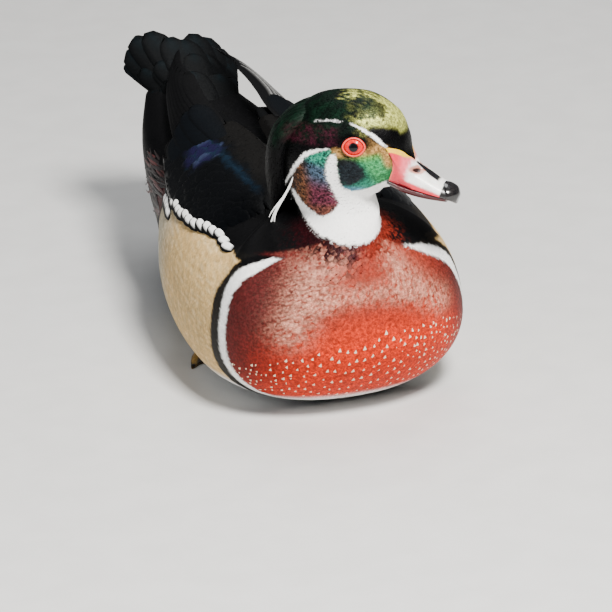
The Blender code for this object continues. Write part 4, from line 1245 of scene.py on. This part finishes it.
def bill(sheet):
    """Upper bill grown out of the feathers' edge, hooked nail and lower bill.

    The upper bill blends from its rim into its loft over the first 40 rings, closes over three shrinking
    rings at the tip, sinks by a bell of the distance from the nostril, and swells along its lip.
    """
    horn = bill_finish()
    angle = sheet.across[np.arange(0, 720, 4)]
    rim = bill_rim(angle)
    grow = np.linspace(0, 1, 40)
    early = [mix(rim, loft(BILL_UPPER, np.array([mix(0.75, 1.45, g)]), angle)[0][0], smooth(g, 0.0, 1.0))
             for g in grow]
    late = loft(BILL_UPPER, np.linspace(1.45, 3.98, 110)[1:], angle)[0]
    tip = late[-1].mean(0)
    onward = tip - late[-3].mean(0)
    closing = [tip + (late[-1] - tip) * k + onward * (1 - k) for k in (0.92, 0.7, 0.35)]
    inside = rim + (rim.mean(0) - rim) * 0.12 - 0.06 * (late[0].mean(0) - rim.mean(0))
    grid = np.concatenate([inside[None], early, late, closing])
    q = straight_of(grid)
    gap = np.linalg.norm(np.diff(grid, axis=0), axis=-1)
    border = np.concatenate([np.zeros((1, len(angle))), np.cumsum(gap, axis=0)]) / MM - 1.2
    inward = grid.mean(1, keepdims=True) - grid
    inward /= np.maximum(np.linalg.norm(inward, axis=-1, keepdims=True), 1e-9)
    pit = np.exp(-nostril_gap(q, 2.2, 1.1) ** 2) * (np.abs(q[..., 1]) > 2.0)
    grid = grid + inward * (0.0013 * pit)[..., None]
    turn = np.abs(np.degrees(angle))
    lip = smooth(turn, 92.0, 104.0) * smooth(-turn, -128.0, -112.0)
    grid[42:] = grid[42:] - inward[42:] * 0.00035 * lip[None, :, None]
    painted("upper_bill", *solid_tube(grid, with_gloss(bill_paint(q, border))), horn, ["bill_upper"], "bill")

    nail = loft(BILL_NAIL, np.linspace(0, 4, 60), np.linspace(-pi, pi, 72, endpoint=False))[0]
    tint = with_gloss(np.broadcast_to(dye(14, 13, 15), nail.shape))
    painted("nail", *solid_tube(nail, tint), nail_finish(), ["bill_nail"], "nail")

    lower = loft(BILL_LOWER, np.linspace(0, 3, 90), np.linspace(-pi, pi, 96, endpoint=False))[0]
    q = straight_of(lower)
    lift = smooth(q[..., 2] + 0.30 * (q[..., 0] - 40.0), 121.0, 123.0) * smooth(q[..., 0], 33.0, 38.0)
    tint = with_gloss(tone(np.broadcast_to(dye(26, 16, 18), q.shape), dye(70, 18, 24), lift))
    painted("lower_bill", *solid_tube(lower, tint), horn, ["bill_lower"], "bill")


# Free white plumes at the side of the crest: a line before the head's turn in millimetres, the share of it
# that is used, and the width
FREE_PLUMES = [
    ([(-15.8, 21.2, 130.0), (-18.9, 19.2, 124.0), (-22.4, 17.4, 118.4), (-26.4, 15.4, 113.0),
      (-30.2, 13.2, 106.5), (-33.2, 10.8, 99.0), (-34.0, 9.0, 92.0)], 1.0, 0.9),
    ([(-16.0, 21.2, 129.6), (-19.2, 19.2, 123.4), (-22.8, 17.3, 117.4), (-26.6, 15.2, 111.6),
      (-29.4, 13.2, 105.5), (-30.6, 11.0, 99.0), (-30.2, 9.4, 93.0)], 0.95, 0.8),
    ([(-15.6, 21.3, 131.0), (-18.6, 19.4, 125.0), (-22.0, 17.7, 119.4), (-26.0, 15.8, 114.4),
      (-30.4, 13.7, 109.0), (-34.0, 11.6, 103.2), (-36.0, 9.6, 97.5)], 0.8, 0.8),
    ([(-15.9, 21.2, 130.4), (-19.0, 19.3, 124.6), (-22.5, 17.5, 118.0), (-26.2, 15.3, 112.0),
      (-29.2, 13.0, 107.0), (-31.8, 11.0, 101.8), (-32.2, 9.6, 97.0)], 0.9, 0.7),
]


def crest(draw):
    """Crest of long silky plumes over a bed, drooping to a point behind the neck, with four free white
    plumes on each side."""
    across = np.linspace(-pi, pi, 361)
    points, straight = loft(CREST, np.linspace(0.0, 5.0, 300), across)
    narrow = [(top, low, half * 0.86, *rest) for top, low, half, *rest in CREST]
    inner, inner_straight = loft(narrow, np.linspace(0.15, 4.7, 90), across[:-1:5])
    centre = inner.mean(1, keepdims=True)
    colour, gloss, _ = head_plumage(inner_straight / MM, np.zeros(inner.shape[:2]))
    bed = solid_tube(mix(centre, inner, 0.90), with_gloss(colour, gloss))
    painted("crest_bed", *bed, skin_finish("crest_down"), ["crest"], "head_feathers")

    station = np.broadcast_to(np.linspace(0, 5, 300)[:, None, None], (*points.shape[:2], 1))
    sheet = Sheet(points, np.concatenate([straight, station], axis=-1), across, True)

    def colours(sheet, va, vb, u, v, own):
        tint, gloss, _ = head_plumage(sheet.read(sheet.extra, va, vb)[..., :3] / MM, own * 2 - 1)
        return with_gloss(tint, gloss), 0.0

    rows = sheet.point.shape[:2]
    a, b, _ = rows_of_roots(sheet, np.full(rows, 2.1 * MM), np.full(rows, 1.9 * MM), draw, 0.3)
    angle = np.interp(np.mod(b, 360), np.arange(361), across)
    keep = (np.abs(angle) < radians(128.0)) & (sheet.read(sheet.extra, a, b)[..., 3] < 4.75)
    parts = [lay_feathers(sheet, a[keep], b[keep], 17.0 * MM, 2.5 * MM, SILK_VANE, 1.5 * MM, 0.14 * MM,
                          colours, draw, lift=0.1 * MM, curl=2.5, uneven=0.22, stray=0.05)]
    for hand in (-1, 1):
        for line, end, width in FREE_PLUMES:
            stray = draw.normal(0, 0.12, (len(line), 3))
            parts.append(strand(np.array(line) + stray, hand, width, end, WHITE))
    finish = vane_finish("silky_plumes", 0.45, 0.62, metal=0.15, pitch=0.30, sparkle=0.6)
    coat_piece("crest_plumes", parts, finish)


def strand(line, hand, width, end, shade):
    """One free narrow plume along a line of straight head places, in millimetres: a thin tapering lens."""
    places = hermite(line, np.linspace(0, (len(line) - 1) * end, 22))
    world = turned(places[:, 0] * MM, -hand * places[:, 1] * MM, places[:, 2] * MM, HEAD_YAW)
    ahead = np.gradient(world, axis=0)
    ahead /= np.linalg.norm(ahead, axis=1, keepdims=True)
    out = turned(np.zeros(1), np.full(1, -hand * 1.0), np.zeros(1), HEAD_YAW)[0] - [0.0, NECK_Y, 0.0]
    out = out / np.linalg.norm(out)
    side = np.cross(ahead, out)
    side /= np.linalg.norm(side, axis=1, keepdims=True)
    up = np.cross(side, ahead)
    share = np.linspace(0, 1, 22)[:, None]
    half = width * MM / 2 * (0.25 + 0.75 * np.sin(pi * np.clip(share, 0.0, 0.98)) ** 0.6)
    turn = np.linspace(0, 2 * pi, 6, endpoint=False)[None]
    ring = world[:, None] + (half * np.cos(turn))[..., None] * side[:, None] \
        + (half * 0.4 * np.sin(turn))[..., None] * up[:, None]
    flat, triangles, tint = solid_tube(ring, with_gloss(np.broadcast_to(shade, ring.shape)))
    count = np.arange(len(flat))
    return {
        "points": flat,
        "triangles": triangles,
        "tint": tint,
        "mark": np.zeros(len(flat)),
        "lie": np.broadcast_to([6.0, 0.0, 0.0], flat.shape),
        "uv": 0.5 + PATCH / 2 * np.stack([np.cos(count), np.sin(count)], axis=-1),
        "normals": np.broadcast_to(out, flat.shape),
    }


def wing_surface(hand, places, share, drop=0.0):
    """Top face of the folded wing: straight from inner to outer edge, arched by sin(pi share) times the
    arch's height; beyond the outer edge it turns down, and hand -1 mirrors it."""
    q = hermite(WING, places)
    y, inner, outer, crown = q[:, 0], q[:, 1:3], q[:, 3:5], q[:, 5]
    chord = outer - inner
    long = np.linalg.norm(chord, axis=1, keepdims=True)
    unit = chord / long
    normal = np.stack([-unit[:, 1], unit[:, 0]], axis=-1)
    on = np.clip(share, 0.0, 1.0)
    past = share - on
    plane = inner[:, None] + chord[:, None] * (on + 0.35 * past)[None, :, None]
    rise = np.sin(pi * on)[None] * crown[:, None] - drop - np.abs(past)[None] * long * 0.9
    plane = plane + normal[:, None] * rise[..., None]
    return np.stack(np.broadcast_arrays(hand * plane[..., 0], y[:, None], plane[..., 1]), axis=-1)


def wing_sheet(hand, first, last, low, high, rows, columns):
    """Sheet of the wing's top face; its second axis always runs towards +X."""
    places = np.linspace(first, last, rows)
    share = np.linspace(low, high, columns)
    points = wing_surface(hand, places, share)
    extra = np.stack(np.broadcast_arrays(places[:, None], share[None]), axis=-1)
    if hand < 0:
        points, extra, share = points[:, ::-1], extra[:, ::-1], share[::-1]
    return Sheet(points, extra, share, False)


def wing_colours(sheet, va, vb, u, v, own):
    """Colours for wing coverts and scapulars: brown-black mantle inside, a blue streak, glossy black,
    and a violet-blue patch towards the rear."""
    share = sheet.read(sheet.extra, va, vb)[..., 1]
    point = sheet.read(sheet.point, va, vb) / MM
    y = point[..., 1]
    fine = ripple(point, 6.0, 41) * 0.04 + (own - 0.5) * 0.06
    colour = np.broadcast_to(MANTLE, point.shape)
    gloss = np.full(share.shape, 0.12)
    black = smooth(share + fine, 0.20, 0.32)
    colour = tone(colour, WING_BLACK, black)
    gloss = mix(gloss, 0.55, black)
    streak = 0.5 * np.exp(-((share + 0.35 * fine - 0.33 - 0.0007 * (y + 5.0)) / 0.035) ** 2)
    streak = streak * smooth(y, -32.0, -18.0) * smooth(-y, -66.0, -50.0)
    colour = tone(colour, WING_BLUE, np.clip(streak * (0.8 + 0.2 * own), 0, 1))
    gloss = mix(gloss, 1.0, streak)
    patch = smooth(y + 40 * fine, 44.0, 52.0) * smooth(-y, -80.0, -70.0)
    patch = patch * smooth(share + fine, 0.30, 0.40)
    patch = patch * smooth(-share - fine, -0.74, -0.60)
    violet = tone(WING_PURPLE, WING_BLUE, smooth(np.abs(v), 0.3, 1.0))
    tip = smooth(u, 0.72, 0.92) * smooth(-np.abs(v), -0.85, -0.45) * (own > 0.55)
    violet = tone(violet, dye(88, 104, 140), 0.5 * tip)
    colour = tone(colour, violet, patch * 0.85)
    gloss = mix(gloss, 1.0, patch)
    return with_gloss(colour, gloss), 0.0


# Tertials: share across the wing, y of the root in metres, length and lift in millimetres
TERTIAL_SHARE = np.array([0.30, 0.46, 0.62, 0.78])
TERTIAL_Y = (0.060, 0.056, 0.052, 0.048)
TERTIAL_LENGTH = np.array([58.0, 60.0, 58.0, 54.0])
TERTIAL_LIFT = np.array([1.5, 1.2, 0.9, 0.6])
PRIMARIES = 8


def wing_bed(name, hand):
    """Flat bed under the coverts: the wing's face lowered by 2.2 mm on top and 5 mm below."""
    places = np.linspace(0.02, 4.3, 90)
    top = wing_surface(hand, places, np.linspace(0.0, 1.0, 24), drop=0.0022)
    low = wing_surface(hand, places, np.linspace(1.0, 0.0, 24), drop=0.0050)
    ring = np.concatenate([top, low], axis=1)
    bed = solid_tube(ring, with_gloss(np.broadcast_to(WING_BLACK, ring.shape), 0.2))
    painted("wing_bed_" + name, *bed, skin_finish("wing_down_" + name), ["wing_" + name], "wing_feathers")


def tertial_colours(sheet, va, vb, u, v, own):
    """Black, with a trace of blue along the shaft."""
    blue = 0.02 * (1 - smooth(np.abs(v), 0.55, 0.95))
    return with_gloss(tone(np.broadcast_to(WING_BLACK, (*v.shape, 3)), WING_BLUE, blue), 0.2), 0.0


def primary_colours(hand, edging):
    """Black, with an outer edge by the share of edging: white on the left, only greyish on the right."""
    pale = WHITE if hand > 0 else dye(20, 20, 22)

    def colours(sheet, va, vb, u, v, own):
        edge = smooth(v * hand, 0.60, 0.80) * smooth(u, 0.25, 0.45) * edging
        colour = tone(np.broadcast_to(dye(8, 8, 9), (*v.shape, 3)), pale, edge)
        return with_gloss(colour, 0.3 * (1 - edge)), 0.0

    return colours


def wing(name, hand, draw):
    """Folded wing: a bed, rows of coverts and scapulars, long tertials and a stack of primaries."""
    wing_bed(name, hand)
    sheet = wing_sheet(hand, 0.0, 5.0, -0.10, 1.0 if hand > 0 else 1.09, 400, 160)
    y = sheet.point[..., 1]
    pace = np.interp(y, [-0.045, 0.0, 0.05, 0.12], [4.2, 6.0, 8.0, 9.0]) * MM
    wide = np.interp(y, [-0.045, 0.0, 0.05, 0.12], [5.0, 7.0, 8.5, 9.0]) * MM
    a, b, _ = rows_of_roots(sheet, pace, wide, draw, 0.12)
    at = sheet.read(sheet.point, a, b)[..., 1]
    keep = at < 0.066
    a, b, at = a[keep], b[keep], at[keep]
    length = np.interp(at, [-0.045, 0.0, 0.03, 0.066], [12.0, 20.0, 28.0, 32.0]) * MM
    width = np.interp(at, [-0.045, 0.0, 0.03, 0.066], [7.0, 10.0, 13.0, 15.0]) * MM
    coverts = lay_feathers(sheet, a, b, length, width, BROAD_VANE, 2.2 * MM, 0.26 * MM, wing_colours,
                           draw, lift=0.25 * MM, curl=2.6)

    rows, columns = sheet.point.shape[:2]
    order = slice(None, None, hand)
    column = np.interp(TERTIAL_SHARE, sheet.across[order], np.arange(columns)[order])
    start = np.array([np.interp(v, sheet.point[:, int(c), 1], np.arange(rows))
                      for v, c in zip(TERTIAL_Y, column)])
    tertials = lay_feathers(sheet, start, column, TERTIAL_LENGTH * MM, 14.0 * MM, LONG_VANE, 1.6 * MM,
                            0.35 * MM, tertial_colours, draw, lift=TERTIAL_LIFT * MM, curl=1.5, uneven=0.02,
                            stray=0.01)
    finish = vane_finish("wing_vanes_" + name, 0.28, 0.55, 0.6, 0.5)
    coat_piece("wing_coverts_" + name, [coverts, tertials], finish)

    sheet = wing_sheet(hand, HAND_START, 7.0, 0.0, 1.0, 400, 120)
    stack = []
    for k in range(PRIMARIES):
        spot = 0.16 + 0.085 * k
        column = spot * 119 if hand > 0 else (1 - spot) * 119
        below = PRIMARIES - 1 - k
        length = sheet.reach[int(column)] - 0.0035 * below * 1.6
        edging = 1.0 if below == 0 else 0.25
        level = (0.42 * below - 1.2) * MM
        stack.append(lay_feathers(sheet, np.array([1.0]), np.array([column]), length, 9.0 * MM, LONG_VANE,
                                  1.0 * MM, 0.40 * MM, primary_colours(hand, edging), draw, lift=level,
                                  curl=1.5, uneven=0.0, stray=0.004))
    finish = vane_finish("flight_vanes_" + name, 0.34, 0.55, 0.5, 0.55)
    coat_piece("primaries_" + name, stack, finish, ["primaries_" + name])


# Flank's edge on the folded wing, in millimetres: its height along y, and the length of its feathers
CHAIN_Y = [-62.0, -40.0, -20.0, 0.0, 20.0, 45.0, 60.0, 72.0]
CHAIN_HEIGHT = [88.0, 88.4, 86.6, 84.2, 82.6, 82.0, 81.0, 78.5]
CHAIN_LENGTH = 14.0


def chain_roots(sheet, hand, places, below):
    """Roots on the body's sheet 6 mm ahead of each place along y, where the height is nearest the flank's
    upper edge less the drop, looking from the back down that side."""
    columns = np.arange(361, 720, 2) if hand > 0 else np.arange(359, 0, -2)
    start = [int((sheet.extra[:, j, 3] < 8.2).argmax()) for j in columns]
    stop = [int(sheet.reach[j] / sheet.step) for j in columns]
    roots = []
    for place, drop in zip(places, below):
        along = np.array([np.interp(place - 0.0060, sheet.point[i:k, j, 1], np.arange(i, k))
                          for i, k, j in zip(start, stop, columns)])
        height = sheet.read(sheet.point, along, columns.astype(float))[:, 2]
        raised = 3.5 * smooth(-place, -0.020, 0.005) if hand > 0 else 0.0
        want = (np.interp(place / MM, CHAIN_Y, CHAIN_HEIGHT) + raised) * MM - drop
        k = np.abs(height - want).argmin()
        roots.append((along[k], columns[k]))
    return np.array(roots)


def flank_edge(name, hand, sheet, draw):
    """Chain of short feathers along the flank's upper edge, over the wing's rim: white with a black border
    at the tip and along the lower side; a second, shorter chain below it at the rear."""
    long_chain = np.arange(-0.012 if hand > 0 else -0.054, 0.073, 0.0078)
    short_chain = np.arange(0.040, 0.072, 0.0080)
    y = np.concatenate([long_chain, short_chain])
    y = y + draw.uniform(-0.0004, 0.0004, len(y))
    below = np.repeat([0.0, 0.0062], [len(long_chain), len(short_chain)])
    roots = chain_roots(sheet, hand, y, below)

    def colours(sheet, va, vb, u, v, own):
        back = (1 - u) * CHAIN_LENGTH + 0.9 * v**2
        colour = tone(np.broadcast_to(WHITE, (*back.shape, 3)), BLACK, smooth(-back, -1.7, -1.2))
        colour = tone(colour, BLACK, smooth(v * hand, 0.05, 0.40))
        return with_gloss(tone(colour, BLACK, smooth(back, 9.4, 10.0)), 0.05), 0.0

    lift = np.interp(y, [-0.06, -0.03, 0.0], [1.0, 1.4, 1.9]) * MM - (below > 0) * 0.5 * MM
    part = lay_feathers(sheet, roots[:, 0], roots[:, 1], CHAIN_LENGTH * MM, 6.0 * MM, BROAD_VANE, 1.4 * MM,
                        0.20 * MM, colours, draw, lift=lift, lean=-hand * radians(4.0), curl=1.3,
                        uneven=0.06, stray=0.05)
    coat_piece("flank_edge_" + name, [part], vane_finish("flank_vanes_" + name, 0.4, 0.6, 0.2, 0.38, 0.1))


def tail(draw):
    """Tail fan of twelve long feathers, the middle pair on top, on a fan of angle and distance, with two
    rows of shorter feathers over its base."""
    angle = np.linspace(-1.06, 1.06, 161)
    reach = np.linspace(0.0, 1.0, 400)
    rim = 1.0 - (1.0 - TAIL_EDGE_SHARE) * np.abs(angle) ** 2.4
    radius = TAIL_ROOT + (TAIL_LENGTH * 1.06 * rim[None] - TAIL_ROOT) * reach[:, None]
    run = radius * np.cos(angle * TAIL_SPREAD)
    droop = TAIL_DROOP * angle[None] ** 2 * (0.4 + 0.6 * reach[:, None])
    side = radius * np.sin(angle * TAIL_SPREAD)
    points = TAIL_PIVOT + np.stack([side, run * cos(TAIL_PITCH), run * sin(TAIL_PITCH) - droop], axis=-1)
    extra = np.stack(np.broadcast_arrays(reach[:, None], angle[None]), axis=-1)
    sheet = Sheet(points, extra, angle, False)

    def colours(sheet, va, vb, u, v, own):
        sheen = 0.25 * smooth(-np.abs(v), -0.8, 0.1) * smooth(u, 0.7, 0.95)
        colour = tone(np.broadcast_to(dye(7, 8, 9), (*v.shape, 3)), dye(14, 32, 38), sheen)
        return with_gloss(colour, 0.45), 0.0

    stack = []
    for k in np.argsort(-np.abs(np.arange(12) - 5.5)):
        place = (k - 5.5) / 5.5
        column = np.interp(place * 0.90, angle, np.arange(161))
        length = sheet.reach[int(column)] - TAIL_NOTCH[k] * MM
        level = (1.9 - 3.0 * abs(place)) * MM
        stack.append(lay_feathers(sheet, np.array([1.0]), np.array([column]), length, 19.0 * MM, LONG_VANE,
                                  1.0 * MM, 0.45 * MM, colours, draw, lift=level, lean=0.035 * place,
                                  curl=1.5, uneven=0.0, stray=0.0))
    for count, start, length, level in ((11, 26.0, 44.0, 2.0), (10, 10.0, 40.0, 3.0)):
        spots = np.linspace(-0.86, 0.86, count)
        a = np.full(count, start * MM / sheet.step)
        b = np.interp(spots, angle, np.arange(161))
        stack.append(lay_feathers(sheet, a, b, length * MM, 15.0 * MM, LONG_VANE, 1.6 * MM, 0.15 * MM, colours,
                                  draw, lift=(level - 2.4 * np.abs(spots)) * MM, lean=0.05 * spots, curl=3.0,
                                  uneven=0.08, stray=0.04))
    finish = vane_finish("tail_vanes", 0.36, 0.55, 0.5, 0.6)
    coat_piece("tail_feathers", stack, finish, ["tail"])


RUMP_PLUMES = 70


def plume_colours(sheet, va, vb, u, v, own):
    """Mostly black plumes, every fourth one maroon with a browner tip."""
    shade = tone(np.broadcast_to(MAROON, (*va.shape, 3)), dye(64, 28, 24), smooth(own, 0.7, 1.0) * u)
    return with_gloss(tone(shade, BLACK, 0.9 * (own < 0.75)), 0.4), 0.0


def plumes(sheet, draw):
    """Hair-like plumes hanging from the sides of the rump."""
    parts = []
    for hand in (-1, 1):
        y = draw.uniform(0.070, 0.108, RUMP_PLUMES)
        turn = hand * np.radians(draw.uniform(52.0, 84.0, RUMP_PLUMES))
        b = np.interp(turn, sheet.across, np.arange(721))
        stops = (sheet.reach[b.astype(int)] / sheet.step).astype(int)
        a = np.array([np.interp(v, sheet.point[:stop, int(j), 1], np.arange(stop))
                      for v, j, stop in zip(y, b, stops)])
        lift = draw.uniform(0.3, 1.6, RUMP_PLUMES) * MM
        parts.append(lay_feathers(sheet, a, b, 26.0 * MM, 1.5 * MM, SILK_VANE, 2.0 * MM, 0.16 * MM,
                                  plume_colours, draw, lift=lift, lean=hand * 0.25, curl=1.6, uneven=0.25,
                                  stray=0.16))
    coat_piece("rump_plumes", parts, vane_finish("hair_plumes", 0.4, 0.6, 0.4, 0.3, 0.22, sheen=0.1))


def leg_finish():
    """Scaly skin: rows of small plates with dark joints between them, dull and slightly damp."""
    n = Nodes("leg_skin")
    node = n.add("TexVoronoi", n.place())
    node.inputs["Scale"].default_value = 900.0
    plate = node.outputs["Distance"]
    joint = n.ranged(plate, 0.25, 0.55, 1.0, 0.55)
    return n.finish(n.lit(n.attribute("tint", "Color"), joint), n.ranged(plate, 0.0, 0.6, 0.40, 0.60), 0.0,
                    n.bump(plate, -0.5, 0.0002))


SKIN_GAP = 0.0001


def shank(name, hand, finish):
    """Shank: a round tube along its smooth path, pressed flat at the floor."""
    line = hermite([[hand * x, y, z, r] for (x, y, z), r in zip(LEG_PATH, LEG_RADII)],
                   np.linspace(0, len(LEG_PATH) - 1, 60))
    centre, radius = line[:, :3], line[:, 3] - SKIN_GAP
    ahead = np.gradient(centre, axis=0)
    ahead /= np.linalg.norm(ahead, axis=1, keepdims=True)
    side = np.cross(ahead, np.array([0.0, 0.35, 1.0]))
    side /= np.linalg.norm(side, axis=1, keepdims=True)
    up = np.cross(side, ahead)
    turn = np.linspace(0, 2 * pi, 32, endpoint=False)
    wheel = np.cos(turn)[None, :, None] * side[:, None] + np.sin(turn)[None, :, None] * up[:, None]
    tube = centre[:, None] + radius[:, None, None] * wheel
    tube[..., 2] = np.maximum(tube[..., 2], SKIN_GAP)
    tint = with_gloss(np.broadcast_to(dye(176, 136, 60), tube.shape))
    painted("shank_" + name, *solid_tube(tube, tint), finish, ["leg_" + name], "leg_skin")


def web_foot(name, hand, finish):
    """Flat webbed foot: the height of each toe falls off as a bell across it and fades towards the claw."""
    first, last = TOE_ANGLES[0], TOE_ANGLES[-1]
    turn = np.linspace(first - TOE_SHARE, last + TOE_SHARE, 90)
    reach = np.linspace(0.0, 1.0, 60)[None]
    on_toe = np.stack([np.exp(-((turn - angle) / TOE_SHARE) ** 2) for angle in TOE_ANGLES])
    length = WEB_LENGTH + sum(w * (toe - WEB_LENGTH) for w, toe in zip(on_toe, TOE_LENGTHS))
    edge = np.clip(np.minimum(turn - first, last - turn) / TOE_SHARE + 1.0, 0.0, 1.0)
    length = length * (EDGE_SHARE + (1 - EDGE_SHARE) * edge)
    radius = FOOT_START + (length[:, None] - FOOT_START) * reach
    x = FOOT_JOINT[0] + radius * np.sin(turn)[:, None]
    y = FOOT_JOINT[1] - radius * np.cos(turn)[:, None]
    toe = on_toe.max(0)[:, None]
    ridge = toe * (TOE_HEIGHT - WEB_THICK) * (1.0 - TOE_FADE * reach**1.5)
    ridge = ridge * (1 + 0.10 * np.sin(reach * 2 * pi * 3.2) * toe)
    knuckle = (TOE_HEIGHT - WEB_THICK) * np.exp(-(reach / KNUCKLE_REACH) ** 2)
    z = WEB_THICK + np.maximum(ridge, knuckle) * (EDGE_HEIGHT + (1 - EDGE_HEIGHT) * edge[:, None])
    upper = np.stack([hand * x, y, z], axis=-1)
    lower = np.stack([hand * x, y, np.full_like(z, SKIN_GAP)], axis=-1)
    ring = np.concatenate([upper, lower[:, ::-1]], axis=1)
    bone = np.concatenate([smooth(toe + knuckle / TOE_HEIGHT, 0.35, 0.75), np.full_like(z, 0.3)], axis=1)
    claw = np.concatenate([smooth(reach, 0.93, 0.97) * smooth(toe, 0.6, 0.8)] * 2, axis=1)
    colour = tone(np.broadcast_to(dye(54, 46, 36), ring.shape), dye(190, 146, 62), bone)
    colour = tone(colour, dye(20, 18, 18), claw)
    painted("web_foot_" + name, *solid_tube(ring, with_gloss(colour)), finish, ["foot_" + name], "leg_skin")


def leg_and_foot(name, hand):
    """One leg folded beside the belly."""
    finish = leg_finish()
    shank(name, hand, finish)
    web_foot(name, hand, finish)


# Camera: the aim in metres and where it lies in the picture, and the scale of the picture there
SENSOR = 36.0
PICTURE = 612.0
AIM_PIXEL = (352.0, 354.0)
CAMERA_AIM = (0.0, -0.09, 0.032)
CAMERA_DISTANCE = 3.0
PER_METRE = 1900.0
LIGHT_AIM = (0.0, -0.02, 0.08)


def placed(name, data, right, up, back, place):
    """Camera or light at a place, from the three directions of its own axes."""
    made = bpy.data.objects.new(name, data)
    matrix = np.eye(4)
    matrix[:3] = np.stack([right, up, back, place], axis=1)
    made.matrix_world = Matrix(matrix.tolist())
    bpy.context.scene.collection.objects.link(made)
    return made


def camera():
    """Long lens in front and above, to the bird's right, rolled a little as the picture is.

    The lens length makes PER_METRE pixels of a metre at the aim, and the shift puts the aim at AIM_PIXEL.
    """
    azimuth, elevation, roll = radians(-16.5), radians(20.5), radians(2.5)
    back = np.array([sin(azimuth) * cos(elevation), -cos(azimuth) * cos(elevation), sin(elevation)])
    right = np.array([cos(azimuth), sin(azimuth), 0.0])
    up = np.cross(back, right)
    data = bpy.data.cameras.new("camera")
    data.sensor_width = SENSOR
    data.sensor_fit = "HORIZONTAL"
    data.lens = PER_METRE * CAMERA_DISTANCE / PICTURE * SENSOR
    data.shift_x = -(AIM_PIXEL[0] - PICTURE / 2) / PICTURE
    data.shift_y = (AIM_PIXEL[1] - PICTURE / 2) / PICTURE
    data.clip_end = 50.0
    made = placed("camera", data, right * cos(roll) - up * sin(roll), right * sin(roll) + up * cos(roll), back,
                  np.array(CAMERA_AIM) + back * CAMERA_DISTANCE)
    bpy.context.scene.camera = made


def area_light(name, place, size, power, colour=(1.0, 1.0, 1.0)):
    """Square soft light at a place, facing the bird."""
    data = bpy.data.lights.new(name, "AREA")
    data.size = size
    data.energy = power
    data.color = colour
    back = np.array(place) - np.array(LIGHT_AIM)
    back /= np.linalg.norm(back)
    right = np.cross([0.0, 0.0, 1.0], back)
    right /= np.linalg.norm(right)
    placed(name, data, right, np.cross(back, right), back, place)


def studio():
    """Plain pale floor and soft light, the strongest from in front and above."""
    corners = np.array([[-1, -1, 0], [1, -1, 0], [1, 1, 0], [-1, 1, 0]]) * 6.0 - [0, 0, 0.0002]
    floor = new_mesh("floor", corners, np.array([[0, 1, 2], [0, 2, 3]]), np.ones((4, 4)))
    n = Nodes("floor_finish")
    light = n.ranged(n.noise(n.place(), 40.0, 3.0), 0.3, 0.7, 0.60, 0.63)
    floor.data.materials.append(n.finish(n.vector(light, light, n.times(light, 0.985)), 0.65))
    area_light("key", (0.10, -1.15, 1.45), 0.40, 92.0, (1.0, 0.97, 0.93))
    area_light("fill", (-1.5, -0.7, 0.9), 1.0, 8.0, (0.93, 0.96, 1.0))
    area_light("top", (0.3, 0.6, 1.7), 1.0, 18.0)
    world = bpy.data.worlds.new("studio")
    world.use_nodes = True
    sky = world.node_tree.nodes["Background"]
    sky.inputs[0].default_value = (0.75, 0.78, 0.82, 1.0)
    sky.inputs[1].default_value = 0.13
    bpy.context.scene.world = world


def build():
    """Make every piece of the bird."""
    draw = np.random.default_rng(7)
    camera()
    studio()
    body = body_sheet()
    skin(body)
    body_coat(body, draw)
    eyes(body)
    bill(body)
    crest(draw)
    for name, hand in (("left", 1), ("right", -1)):
        wing(name, hand, draw)
        flank_edge(name, hand, body, draw)
        leg_and_foot(name, hand)
    tail(draw)
    plumes(body, draw)


build()
